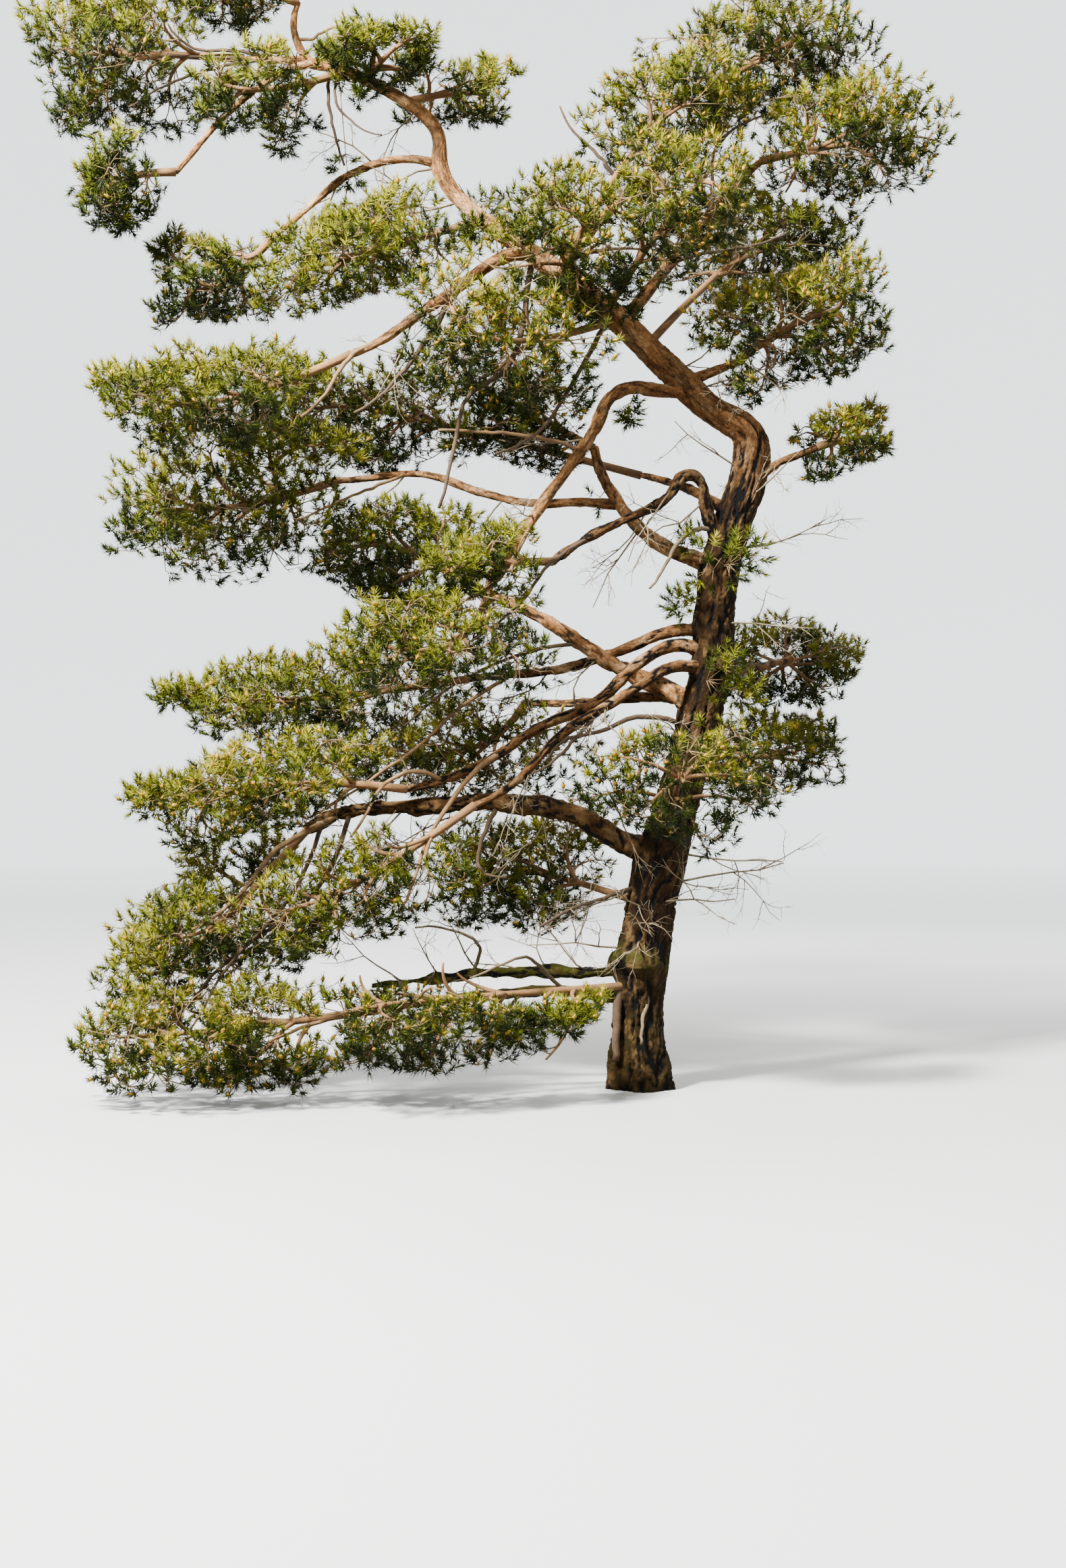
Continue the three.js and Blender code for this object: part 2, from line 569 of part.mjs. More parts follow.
// The largest of the sizes tried that leaves its neighbours clear, or nothing
function growSpray(space, foot, place, others) {
  const usual = SPRAY_SIZE * Math.cbrt(space.half[0] * space.half[1] * space.half[2]);
  for (const share of SPRAY_SIZES_TRIED) {
    const roomy = sprayGeometry(space, foot.point, place, usual * share * SPRAY_MARGIN);
    const box = boxOf(roomy);
    if (inSpace(space, roomy) && !overlaps(toSolid(roomy), box, others)) {
      const solid = toSolid(sprayGeometry(space, foot.point, place, usual * share));
      return { solid, box };
    }
  }
  return null;
}

const finishedSprays = [];
spaces.forEach((space, index) => {
  const stem = stems[index];
  const others = [...grownLimbs, ...stems.filter((other) => other !== stem), ...finishedSprays];
  const runs = evenRuns(stem.path.length, STEM_STATIONS).slice(FIRST_STATION);
  const grown = runs.map((run) => ({ point: stem.path.pointAt(run), owner: stem }));
  const sprays = [];
  for (const place of sprayPlaces(space)) {
    const foot = nearestFoot(space, grown, place);
    const siblings = sprays.filter((other) => other !== foot.owner);
    const spray = growSpray(space, foot, place, [...others, ...siblings]);
    if (spray) {
      sprays.push(spray);
      grown.push({ point: foot.point.clone().lerp(place, 0.5), owner: spray });
    }
  }
  finishedSprays.push(...sprays);
  const solid = sprays.reduce((sum, spray) => sum.add(spray.solid), stem.solid);
  tree.add(finishedMesh(space.name, largestShell(solid), 'foliage'));
});

export default tree;
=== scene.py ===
# %% [markdown]
# # A gnarled Scots pine
# The tree leans out, turns back at an elbow and carries its crown far to one side. Everything here
# is grown from the same named sizes as the solid model: first the camera and light, then the bark
# of the trunk and boughs, then twigs, needles, pollen cones and dead twigs.

# %% The frame
import math

import bpy
import bmesh
import numpy as np
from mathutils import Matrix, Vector, noise


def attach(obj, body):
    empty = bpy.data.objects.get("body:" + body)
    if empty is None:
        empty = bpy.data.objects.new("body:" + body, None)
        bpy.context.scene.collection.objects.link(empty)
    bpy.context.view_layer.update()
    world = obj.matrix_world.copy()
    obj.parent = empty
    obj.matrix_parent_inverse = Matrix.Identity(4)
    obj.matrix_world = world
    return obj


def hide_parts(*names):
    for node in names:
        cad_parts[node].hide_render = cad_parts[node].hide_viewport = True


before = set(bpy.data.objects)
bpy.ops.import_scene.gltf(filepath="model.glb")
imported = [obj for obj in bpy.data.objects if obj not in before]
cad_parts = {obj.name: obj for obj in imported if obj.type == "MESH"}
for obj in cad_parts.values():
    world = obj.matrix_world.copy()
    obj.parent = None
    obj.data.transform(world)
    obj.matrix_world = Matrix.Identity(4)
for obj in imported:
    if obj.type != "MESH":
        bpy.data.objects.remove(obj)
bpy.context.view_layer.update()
bpy.ops.object.select_all(action="DESELECT")
print("solid nodes:", len(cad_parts))

# %% [markdown]
# ## Camera, floor and light
# The photograph is taken from about fifteen metres away, level and a little above a person's
# height, so the camera is given by the scale of the photograph: 3000 of its pixels to 15 metres.
# The floor is a wide shallow bowl with a round edge, extruded ring by ring from a disc. A plain
# plane would show a hard horizon behind the tree, and a wall would hide it from behind.

# %% Camera
PHOTO_HEIGHT = 2324
PIXELS_AT_ONE_METRE = 3000
SENSOR = 36
CAMERA_PLACE = (-0.79, -15.0, 2.25)

bpy.ops.object.camera_add(location=CAMERA_PLACE, rotation=(math.pi / 2, 0, 0))
camera = bpy.context.object
camera.data.sensor_width = SENSOR
camera.data.lens = PIXELS_AT_ONE_METRE / PHOTO_HEIGHT * SENSOR
bpy.context.scene.camera = camera
print("lens", round(camera.data.lens, 2), "mm")

# %% Floor
FLOOR_RADIUS = 45
BOWL_ROUND = 12
BOWL_STEPS = 8
WALL_TOP = 36

bpy.ops.mesh.primitive_circle_add(vertices=96, radius=FLOOR_RADIUS, fill_type="NGON")
floor = bpy.context.object
floor.name = "floor"
bpy.ops.object.mode_set(mode="EDIT")
bpy.ops.mesh.delete(type="ONLY_FACE")
bpy.ops.mesh.select_all(action="SELECT")
radius, height = FLOOR_RADIUS, 0
for step in range(1, BOWL_STEPS + 2):
    turn = min(step / BOWL_STEPS, 1) * math.pi / 2
    wider = FLOOR_RADIUS + BOWL_ROUND * math.sin(turn)
    higher = BOWL_ROUND * (1 - math.cos(turn)) if step <= BOWL_STEPS else WALL_TOP
    bpy.ops.mesh.extrude_edges_move()
    bpy.ops.transform.resize(value=(wider / radius, wider / radius, 1), center_override=(0, 0, 0))
    bpy.ops.transform.translate(value=(0, 0, higher - height))
    radius, height = wider, higher
bpy.ops.object.mode_set(mode="OBJECT")
bpy.ops.mesh.primitive_circle_add(vertices=96, radius=FLOOR_RADIUS, fill_type="NGON")
disc = bpy.context.object
floor.select_set(True)
bpy.context.view_layer.objects.active = floor
bpy.ops.object.join()
bpy.ops.object.mode_set(mode="EDIT")
bpy.ops.mesh.select_all(action="SELECT")
bpy.ops.mesh.remove_doubles(threshold=0.001)
bpy.ops.mesh.normals_make_consistent(inside=False)
bpy.ops.object.mode_set(mode="OBJECT")
bpy.ops.object.shade_smooth_by_angle(angle=math.radians(40))
floor.visible_diffuse = False
print("floor", [round(x, 1) for x in floor.dimensions])

# %% [markdown]
# The sun in the photograph stands high on the left and a little in front, so the main softbox is
# there. A wide weak one from the right and the surroundings keep the shaded side readable. The
# surroundings are pale above and dark below, because under a real crown there is no white floor
# that throws light back up, and that is what gives each mass its dark underside.

# %% Light
SOFTBOXES = {
    "key": ((-9.0, -9.0, 15.0), 2.4, 17500),
    "fill": ((10.0, -12.0, 7.0), 8.0, 350),
    "rim": ((3.0, 13.0, 12.0), 5.0, 2200),
}
LOOKED_AT = Vector((-0.8, 0.3, 4.4))
ABOVE = (0.95, 0.96, 0.90)
BELOW = (0.18, 0.17, 0.10)
SURROUNDINGS_STRENGTH = 0.62

for name, (place, size, power) in SOFTBOXES.items():
    aim = (LOOKED_AT - Vector(place)).to_track_quat("-Z", "Y")
    bpy.ops.object.light_add(type="AREA", location=place, rotation=aim.to_euler())
    light = bpy.context.object
    light.name = name
    light.data.size = size
    light.data.energy = power
world = bpy.data.worlds.new("surroundings")
world.use_nodes = True
sky = world.node_tree
heading = sky.nodes.new("ShaderNodeTexCoord")
parts = sky.nodes.new("ShaderNodeSeparateXYZ")
height = sky.nodes.new("ShaderNodeMapRange")
blend = sky.nodes.new("ShaderNodeMix")
blend.data_type = "RGBA"
height.inputs["From Min"].default_value = -0.25
height.inputs["From Max"].default_value = 0.35
blend.inputs[6].default_value = (*BELOW, 1)
blend.inputs[7].default_value = (*ABOVE, 1)
sky.links.new(heading.outputs["Generated"], parts.inputs[0])
sky.links.new(parts.outputs["Z"], height.inputs["Value"])
sky.links.new(height.outputs[0], blend.inputs[0])
sky.links.new(blend.outputs[2], sky.nodes["Background"].inputs["Color"])
sky.nodes["Background"].inputs["Strength"].default_value = SURROUNDINGS_STRENGTH
bpy.context.scene.world = world
print("lights:", ", ".join(SOFTBOXES))

# %% [markdown]
# ## Writing finishes as sums
# A finish is easier to read as a sum than as a wiring diagram. `Value` wraps a shader socket so
# that Python's own operators add Math nodes, and `Finish.node` adds any other node.

# %% Shader values
class Value:
    """A shader socket that Python's operators work on."""

    def __init__(self, finish, socket):
        self.finish = finish
        self.socket = socket

    def maths(self, operation, *others):
        inputs = {i: part for i, part in enumerate([self, *others])}
        return self.finish.node("Math", {"operation": operation}, inputs)

    def __add__(self, other):
        return self.maths("ADD", other)

    def __sub__(self, other):
        return self.maths("SUBTRACT", other)

    def __mul__(self, other):
        return self.maths("MULTIPLY", other)

    def __rsub__(self, other):
        return self.finish.node("Math", {"operation": "SUBTRACT"}, {0: other, 1: self})

    def __pow__(self, other):
        return self.maths("POWER", other)

    def __abs__(self):
        return self.maths("ABSOLUTE")

    def clipped(self):
        return self.finish.node("Clamp", {}, {0: self})

    __radd__ = __add__
    __rmul__ = __mul__


class Finish:
    """A material whose nodes are added one by one."""

    def __init__(self, name):
        self.material = bpy.data.materials.new(name)
        self.material.use_nodes = True
        self.tree = self.material.node_tree
        self.shader = self.tree.nodes["Principled BSDF"]

    def node(self, kind, settings, inputs, output=0):
        made = self.tree.nodes.new("ShaderNode" + kind)
        for key, value in settings.items():
            if key == "stops":
                while len(made.color_ramp.elements) < len(value):
                    made.color_ramp.elements.new(1)
                for element, (place, colour) in zip(made.color_ramp.elements, value):
                    element.position = place
                    element.color = (*colour, 1)
            else:
                setattr(made, key, value)
        for key, value in inputs.items():
            self.put(made.inputs[key], value)
        return Value(self, made.outputs[output])

    def put(self, socket, value):
        if isinstance(value, Value):
            self.tree.links.new(value.socket, socket)
        elif isinstance(value, tuple) and len(value) == 3 and socket.type == "RGBA":
            socket.default_value = (*value, 1)
        else:
            socket.default_value = value

    def mix(self, share, low, high):
        inputs = {0: share, 6: low, 7: high}
        return self.node("Mix", {"data_type": "RGBA"}, inputs, output=2)

    def noise(self, place, scale, detail=4, rough=0.6):
        inputs = {"Vector": place, "Scale": scale, "Detail": detail, "Roughness": rough}
        return self.node("TexNoise", {}, inputs)

    def stretch(self, place, across, along):
        inputs = {0: place, 1: (across, across, along)}
        return self.node("VectorMath", {"operation": "MULTIPLY"}, inputs)

    def surface(self, **inputs):
        for key, value in inputs.items():
            self.put(self.shader.inputs[key.replace("_", " ")], value)
        return self.material


def paint(red, green, blue):
    """A colour named as on a screen, 0 to 255, as the linear numbers that shaders take."""
    return tuple((part / 255) ** 2.2 for part in (red, green, blue))


# The lights fade with distance, so the far floor and its rim glow a little to stay as pale.
GLOW_STARTS, GLOW_ENDS = 3.0, 48.0
floor_finish = Finish("pale_floor")
place = floor_finish.node("TexCoord", {}, {}, output=3)
cloud = floor_finish.noise(place, 0.3, 2)
pale = floor_finish.mix(cloud, paint(216, 217, 214), paint(222, 222, 219))
far = floor_finish.node("VectorMath", {"operation": "LENGTH"}, {0: place}, output=1)
glow = ((far - GLOW_STARTS) * (1 / (GLOW_ENDS - GLOW_STARTS))).clipped() ** 0.7
glow = floor_finish.mix(glow, (0.0, 0.0, 0.0), (0.90, 0.96, 1.0))
floor.data.materials.append(floor_finish.surface(
    Base_Color=pale, Roughness=0.9, Emission_Color=glow, Emission_Strength=2.0))

# %% [markdown]
# ## The tree's sizes
# The rows are those of the solid model, in millimetres and degrees: how the trunk bends and
# tapers, where each bough starts and how it runs, and the space that each mass of foliage fills.
# Repeating them here lets every twig start on the limb that carries it.

# %% Trunk, boughs and masses
TRUNK_LENGTH = 9390
TRUNK_BENDS = [
    [0, 0, 0], [60, 0, 0], [500, 1, 2], [1100, 7, 2], [1700, 16, 1], [2400, 14, 0],
    [3000, 17, -1], [3400, -2, -2], [3800, 9, -1], [4300, 19, 2], [4520, 21, 4], [4670, 8, 5],
    [4850, 5, 4], [4960, -28, 2], [5070, -63, 0], [5250, -61, -4], [5420, -46, -7],
    [5900, -47, -8], [6500, -51, -5], [7100, -58, -2], [7500, -53, 2], [7750, -42, 4],
    [7950, -20, 2], [8150, 7, 0], [8350, -43, 1], [8600, -58, 2], [9000, -65, 2], [9390, -83, 0],
]
TRUNK_GIRTHS = [
    [0, 410], [220, 360], [560, 345], [900, 380], [1200, 385], [1570, 385], [2090, 330],
    [2600, 305], [3620, 275], [4850, 255], [5200, 200], [5800, 202], [6200, 185], [6900, 155],
    [7400, 133], [7900, 117], [8600, 92], [9390, 70],
]
TRUNK_OVAL = 0.05
OVAL_TURN_RUN = 900
FLARE_SPREAD = 62
FLARE_FADE = 170
FLARE_LOBES = 5
# name: parent, run along it, length, root and tip diameter, then azimuth and pitch along the bough
LIMBS = {
    "low_bough": ("trunk", 1730, 2780, 165, 88,
        [(190, 17), (186, 32), (182, 3), (178, -5), (174, -1), (172, -33)]),
    "shelf_stub": ("trunk", 870, 2050, 95, 60, [(170, -4), (174, 1), (178, -7), (180, -7)]),
    "swept_bough": ("trunk", 3170, 2670, 100, 52,
        [(196, 68), (192, -23), (188, -50), (184, -17), (180, -37), (180, -23), (180, -9)]),
    "upper_swept_bough": ("trunk", 3430, 1930, 95, 50,
        [(162, 19), (168, -23), (174, -18), (178, -4), (182, -7)]),
    "front_swept_bough": ("trunk", 3130, 2230, 88, 48,
        [(215, 25), (208, -32), (200, -27), (190, -51), (184, -19)]),
    "crossing_bough": ("trunk", 2790, 2040, 150, 62,
        [(170, 58), (166, 20), (164, 31), (166, 36), (168, 23), (170, 25)]),
    "hook_bough": ("trunk", 3940, 2030, 105, 44,
        [(218, 87), (210, 60), (205, 88), (200, -63), (196, -24), (190, -25), (190, -31),
         (188, -40)]),
    "rising_bough": ("trunk", 3900, 1440, 120, 75,
        [(168, 32), (166, 17), (164, 39), (166, 50), (170, 64), (175, 81)]),
    "long_bough": ("rising_bough", 940, 2260, 68, 48,
        [(172, 9), (166, -2), (164, 15), (170, 23), (176, -9), (180, -1)]),
    "orange_bough": ("trunk", 5530, 2280, 98, 65,
        [(200, -13), (200, 7), (196, -69), (192, -53), (188, -54), (186, -57), (184, -53)]),
    "third_bough": ("trunk", 6930, 1730, 95, 60,
        [(205, 30), (202, -28), (198, -40), (194, -35), (190, -38), (186, -18)]),
    "second_bough": ("trunk", 8010, 1410, 60, 44,
        [(184, 24), (180, -4), (176, -19), (174, -38), (174, -41), (174, -34)]),
    "crown_left_bough": ("trunk", 9380, 510, 62, 46, [(176, 6), (174, 4), (172, 6)]),
    "crown_up_bough": ("trunk", 9270, 610, 54, 42, [(170, 3), (168, 59), (166, 84), (166, 123)]),
    "crown_hanging_bough": ("trunk", 9330, 1380, 50, 42,
        [(192, -12), (191, -34), (190, -44), (189, -52), (188, -50)]),
    "right_bough": ("trunk", 5570, 460, 75, 50, [(4, 36), (350, 19), (346, 17), (344, 17)]),
    "upper_right_bough": ("trunk", 6220, 1840, 90, 50, [(20, 49), (24, 52), (28, 47), (28, 43)]),
    "top_right_bough": ("trunk", 6810, 2230, 95, 50, [(60, 45), (50, 40), (40, 42), (36, 33)]),
    "right_mid_bough": ("trunk", 4540, 630, 62, 44,
        [(344, 36), (346, 39), (350, 16), (354, 25)]),
    "back_low_bough": ("trunk", 2250, 1150, 90, 50, [(58, 25), (62, 5), (66, 10)]),
    "back_mid_bough": ("trunk", 4310, 1250, 85, 48, [(128, 35), (125, 20), (120, 12)]),
    "back_right_bough": ("trunk", 3050, 1300, 85, 48, [(48, 20), (54, 8), (60, 10)]),
    "back_left_bough": ("trunk", 2920, 1700, 85, 48, [(140, 10), (142, -5), (148, 5)]),
    "low_left_bough": ("trunk", 640, 2000, 90, 55, [(196, 14), (194, -4), (190, -8)]),
}
LIMB_TAPER = 0.9
COLLAR_SHARE = 0.3
COLLAR_FADE = 220
# name: limb, run along it (or its tip), middle, half length, width and thickness, tilt
MASSES = {
    "low_left_mass": ("low_bough", None, (-3150, 0, 1180), (980, 860, 490), -38),
    "swept_mass": ("swept_bough", None, (-2540, -300, 2250), (1140, 780, 365), -12),
    "upper_swept_mass": ("upper_swept_bough", None, (-2430, 350, 2900), (1120, 740, 340), -2),
    "front_swept_mass": ("front_swept_bough", None, (-1960, -650, 1600), (1060, 700, 450), -24),
    "crossing_mass": ("crossing_bough", None, (-1830, 600, 4070), (880, 700, 390), 8),
    "hook_mass": ("hook_bough", None, (-1100, -500, 3830), (560, 540, 300), -10),
    "rising_mass": ("rising_bough", None, (-790, 250, 5010), (580, 620, 370), 15),
    "long_mass": ("long_bough", None, (-2980, 500, 4390), (1130, 780, 530), -4),
    "orange_mass": ("orange_bough", None, (-1320, -450, 3290), (1020, 780, 420), -8),
    "third_mass": ("third_bough", None, (-2910, -550, 5010), (980, 780, 375), -4),
    "second_mass": ("second_bough", None, (-3070, 20, 5990), (560, 560, 370), -12),
    "crown_hanging_mass": ("crown_hanging_bough", None, (-3780, -350, 6620), (420, 350, 300), -52),
    "crown_top_mass": ("crown_up_bough", None, (-3050, -80, 8180), (740, 660, 330), 8),
    "crown_left_mass": ("crown_left_bough", None, (-3770, 50, 7680), (780, 680, 520), 0),
    "right_mass": ("right_bough", None, (1000, -200, 5550), (880, 680, 420), 14),
    "upper_right_mass": ("upper_right_bough", None, (1490, 600, 7160), (900, 780, 490), 10),
    "top_right_mass": ("top_right_bough", None, (920, 1050, 7970), (1060, 840, 480), 12),
    "right_mid_mass": ("right_mid_bough", None, (1450, -50, 4780), (440, 480, 250), 10),
    "back_low_mass": ("back_low_bough", None, (1080, 1500, 2480), (800, 750, 400), 5),
    "back_mid_mass": ("back_mid_bough", None, (-1960, 1000, 5190), (1060, 780, 450), 3),
    "back_right_mass": ("back_right_bough", None, (1260, 1500, 3220), (660, 680, 390), 5),
    "back_left_mass": ("back_left_bough", None, (-1270, 950, 2530), (1200, 800, 470), 0),
    "low_far_mass": ("low_left_bough", None, (-2990, -650, 510), (1180, 860, 380), -3),
    "below_second_mass": ("trunk", 7480, (-1900, -200, 6170), (1050, 680, 370), -18),
    "crown_right_mass": ("trunk", 8590, (-1400, 100, 7400), (580, 540, 290), 8),
    "crown_over_mass": ("trunk", 8970, (-1920, -280, 7480), (480, 560, 280), 10),
    "crown_under_mass": ("trunk", 9090, (-2670, -350, 7280), (700, 500, 300), -5),
    "leader_mass": ("trunk", 6800, (-490, -560, 6050), (640, 700, 520), 25),
    "leader_top_mass": ("trunk", 6820, (160, 150, 7230), (800, 680, 430), 18),
    "leader_front_mass": ("trunk", 6370, (170, -600, 6270), (760, 700, 470), 25),
    "under_leader_mass": ("trunk", 6270, (-920, -550, 5410), (900, 690, 430), 12),
    "back_high_mass": ("trunk", 5970, (920, 1000, 6480), (950, 850, 500), 8),
    "front_mass": ("trunk", 1850, (240, -650, 2260), (600, 780, 440), 0),
    "low_back_mass": ("trunk", 1350, (-790, 700, 1570), (900, 700, 430), -4),
    "low_front_mass": ("trunk", 760, (-1500, -850, 740), (1000, 780, 380), -3),
}
print(len(LIMBS), "boughs,", len(MASSES), "masses")

# %% [markdown]
# A limb is drawn by walking along it: each short step follows the heading that its rows give for
# that place. The walk is the centre line, and `Line` reads places and headings from it.

# %% Centre lines
STEP = 10
HEADING_SPAN = 0.04
MM = 0.001
Z_AXIS = np.array([0.0, 0.0, 1.0])


def direction(azimuth, pitch):
    azimuth, pitch = np.radians(azimuth), np.radians(pitch)
    flat = np.cos(pitch)
    return np.stack([np.cos(azimuth) * flat, np.sin(azimuth) * flat, np.sin(pitch)], -1)


def unit(vectors):
    return vectors / np.linalg.norm(vectors, axis=-1, keepdims=True)


class Line:
    """A centre line in metres, read by its run from the start."""

    def __init__(self, points):
        self.points = points
        lengths = np.linalg.norm(np.diff(points, axis=0), axis=1)
        self.runs = np.concatenate([[0], np.cumsum(lengths)])
        self.length = self.runs[-1]

    def at(self, run):
        return np.stack([np.interp(run, self.runs, self.points[:, i]) for i in range(3)], -1)

    def heading(self, run):
        span = min(HEADING_SPAN, self.length / 4)
        ahead = self.at(np.minimum(run + span, self.length))
        return unit(ahead - self.at(np.maximum(run - span, 0)))


def trunk_line():
    runs = (np.arange(TRUNK_LENGTH // STEP) + 0.5) * STEP
    rows = np.array(TRUNK_BENDS, float)
    lean = np.radians(np.interp(runs, rows[:, 0], rows[:, 1]))
    sway = np.radians(np.interp(runs, rows[:, 0], rows[:, 2]))
    steps = unit(np.stack([np.sin(lean), np.sin(sway), np.cos(lean)], 1)) * STEP * MM
    return Line(np.concatenate([np.zeros((1, 3)), np.cumsum(steps, 0)]))


def bough_line(start, length, course):
    count = round(length / STEP)
    shares = (np.arange(count) + 0.5) / count
    marks = np.linspace(0, 1, len(course))
    azimuths = np.array([azimuth for azimuth, pitch in course], float)
    turned = (azimuths - azimuths[0] + 540) % 360 - 180 + azimuths[0]
    pitches = [pitch for azimuth, pitch in course]
    headings = direction(np.interp(shares, marks, turned), np.interp(shares, marks, pitches))
    steps = headings * length / count * MM
    return Line(np.concatenate([[start], start + np.cumsum(steps, 0)]))


lines = {"trunk": trunk_line()}
for name, (parent, at, length, root, tip, course) in LIMBS.items():
    lines[name] = bough_line(lines[parent].at(at * MM), length, course)
print("limbs drawn:", round(sum(line.length for line in lines.values()), 1), "m in all")


# %% Girths
def trunk_radius(run, angle):
    """The trunk's radius in metres, with its root flare and its slowly turning oval."""
    run = run / MM
    girth = np.interp(run, *np.array(TRUNK_GIRTHS, float).T)
    lobes = 0.5 + 0.5 * np.cos(FLARE_LOBES * angle)
    flare = FLARE_SPREAD * np.exp(-run / FLARE_FADE) * lobes
    oval = 1 + TRUNK_OVAL * np.sin(2 * angle + run / OVAL_TURN_RUN)
    return (girth / 2 * oval + flare) * MM


def bough_radius(name, run):
    parent, at, length, root, tip, course = LIMBS[name]
    run = run / MM
    left = np.maximum(1 - run / length, 0)
    collar = COLLAR_SHARE * root * np.exp(-run / COLLAR_FADE)
    return (tip + (root - tip) * left ** LIMB_TAPER + collar) / 2 * MM


# %% [markdown]
# ## Bark
# Old pine bark is a thick shell that has split lengthwise into plates with deep fissures between
# them. Higher up it is thin, orange and flaky. Each limb is first modelled as a disc that is
# extruded ring by ring along its centre line, like pulling a candle, and subdivided until its
# faces are about a finger wide. The plates are then real relief: every point is moved out or in.

# %% A limb from extruded rings
def frames_along(line, runs):
    """The middle of each section and two directions across it, carried without twist."""
    headings = line.heading(runs)
    headings[0] = unit(line.points[1] - line.points[0])
    across = np.array([0.0, 1, 0]) if abs(headings[0][0]) > 0.8 else np.array([1.0, 0, 0])
    rows = []
    for heading in headings:
        across = unit(across - across.dot(heading) * heading)
        rows.append((across, unit(np.cross(across, heading))))
    return line.at(runs), np.array(rows)


def extruded_limb(name, line, runs, sides, radius_at, levels):
    """A closed limb: a disc extruded through all its sections, then subdivided."""
    middles, rows = frames_along(line, runs)
    angles = np.arange(sides) / sides * 2 * math.pi
    shrink = (4 + 2 * math.cos(2 * math.pi / sides)) / 6
    bpy.ops.mesh.primitive_circle_add(vertices=sides, radius=1, fill_type="NGON")
    limb = bpy.context.object
    limb.name = name
    bpy.ops.object.mode_set(mode="EDIT")
    mesh = bmesh.from_edit_mesh(limb.data)
    crease = mesh.edges.layers.float.new("crease_edge")
    for step, run in enumerate(runs):
        if step:
            bpy.ops.mesh.extrude_region_move()
            mesh = bmesh.from_edit_mesh(limb.data)
        face = next(f for f in mesh.faces if f.select)
        radii = radius_at(run, angles) / shrink
        across, side = rows[step]
        ring = middles[step] + radii[:, None] * (
            np.sin(angles)[:, None] * across + np.cos(angles)[:, None] * side)
        for corner, place in zip(face.verts, ring):
            corner.co = place
    if name == "trunk_bark":
        crease = mesh.edges.layers.float.get("crease_edge")
        for edge in mesh.edges:
            if all(abs(corner.co.z) < 1e-6 for corner in edge.verts):
                edge[crease] = 1
    bpy.ops.mesh.select_all(action="SELECT")
    bpy.ops.mesh.normals_make_consistent(inside=False)
    bpy.ops.object.mode_set(mode="OBJECT")
    smooth = limb.modifiers.new("smooth", "SUBSURF")
    smooth.levels = smooth.render_levels = levels
    bpy.ops.object.modifier_apply(modifier=smooth.name)
    bpy.ops.object.shade_smooth()
    return limb


def points_of(thing):
    places = np.empty(len(thing.data.vertices) * 3, np.float32)
    thing.data.vertices.foreach_get("co", places)
    return places.reshape(-1, 3).astype(float)


def normals_of(thing):
    places = np.empty(len(thing.data.vertices) * 3, np.float32)
    thing.data.vertex_normals.foreach_get("vector", places)
    return places.reshape(-1, 3).astype(float)


# %% [markdown]
# To carve plates, each point has to know where it lies on its limb: its run along the centre line
# and the direction in which it faces. `bark_places` gives that as a place on a straightened limb,
# which has no seam, and the finish reads the same places later. Small flakes are the cells of a
# Voronoi pattern drawn out lengthwise. The old bark's furrows run where several sizes of stretched
# noise all pass through zero, so they part and meet again and break up into scales.

# %% Places on the bark
def bark_places(points, line, spacing=0.02):
    """Each point's run along the line, and its place around a straightened limb."""
    runs = np.arange(0, line.length + spacing, spacing).clip(0, line.length)
    middles, rows = frames_along(line, runs)
    nearest = np.empty(len(points), int)
    for start in range(0, len(points), 4000):
        part = points[start:start + 4000]
        gaps = ((part[:, None] - middles[None]) ** 2).sum(2)
        nearest[start:start + 4000] = gaps.argmin(1)
    away = points - middles[nearest]
    heading = line.heading(runs)[nearest]
    run = runs[nearest] + (away * heading).sum(1)
    across = (away * rows[nearest, 0]).sum(1)
    side = (away * rows[nearest, 1]).sum(1)
    return run, np.stack([across, side, run], 1)


def smoothstep(low, high, value):
    share = ((value - low) / (high - low)).clip(0, 1)
    return share * share * (3 - 2 * share)


def plates(places, width, length, seed):
    """How far each place is from the nearest fissure, and a chance value for its plate."""
    edges, chances = np.empty(len(places)), np.empty(len(places))
    shift = Vector((seed * 3.7, seed * 1.3, seed * 2.1))
    for i, (x, y, z) in enumerate(places):
        spot = Vector((x / width, y / width, z / length)) + shift
        spot += noise.noise_vector(spot * 1.7) * 0.28
        gaps, cells = noise.voronoi(spot)
        edges[i] = gaps[1] - gaps[0]
        chances[i] = noise.cell(cells[0] * 7.3)
    return edges, chances


def furrows(places, width, length, seed):
    """How far each place stands above the furrows, 0 to 1, and a chance value for its ridge."""
    heights, chances = np.empty(len(places)), np.empty(len(places))
    shift = Vector((seed * 3.7, seed * 1.3, seed * 2.1))
    for i, (x, y, z) in enumerate(places):
        spot = Vector((x / width, y / width, z / length)) + shift
        spot += noise.noise_vector(spot * 0.7) * 0.5
        heights[i] = noise.turbulence(spot, 4, True, amplitude_scale=0.6, frequency_scale=2.1)
        chances[i] = 0.5 + 0.7 * noise.noise(spot * 0.6 - shift)
    lowest, middle = np.quantile(heights, (0.06, 0.62))
    return smoothstep(lowest, middle, heights), chances


# %% The trunk
TRUNK_SIDES = 14
TRUNK_RINGS = 104
TRUNK_LEVELS = 3
FURROW_WIDTH, FURROW_LENGTH = 0.11, 0.36
FLAKE_WIDTH, FLAKE_LENGTH = 0.026, 0.055
# run along the trunk and the depth of its fissures there, in millimetres
FISSURES = [[0, 30], [1500, 27], [3200, 23], [4500, 18], [5200, 13], [6500, 9], [9390, 4]]
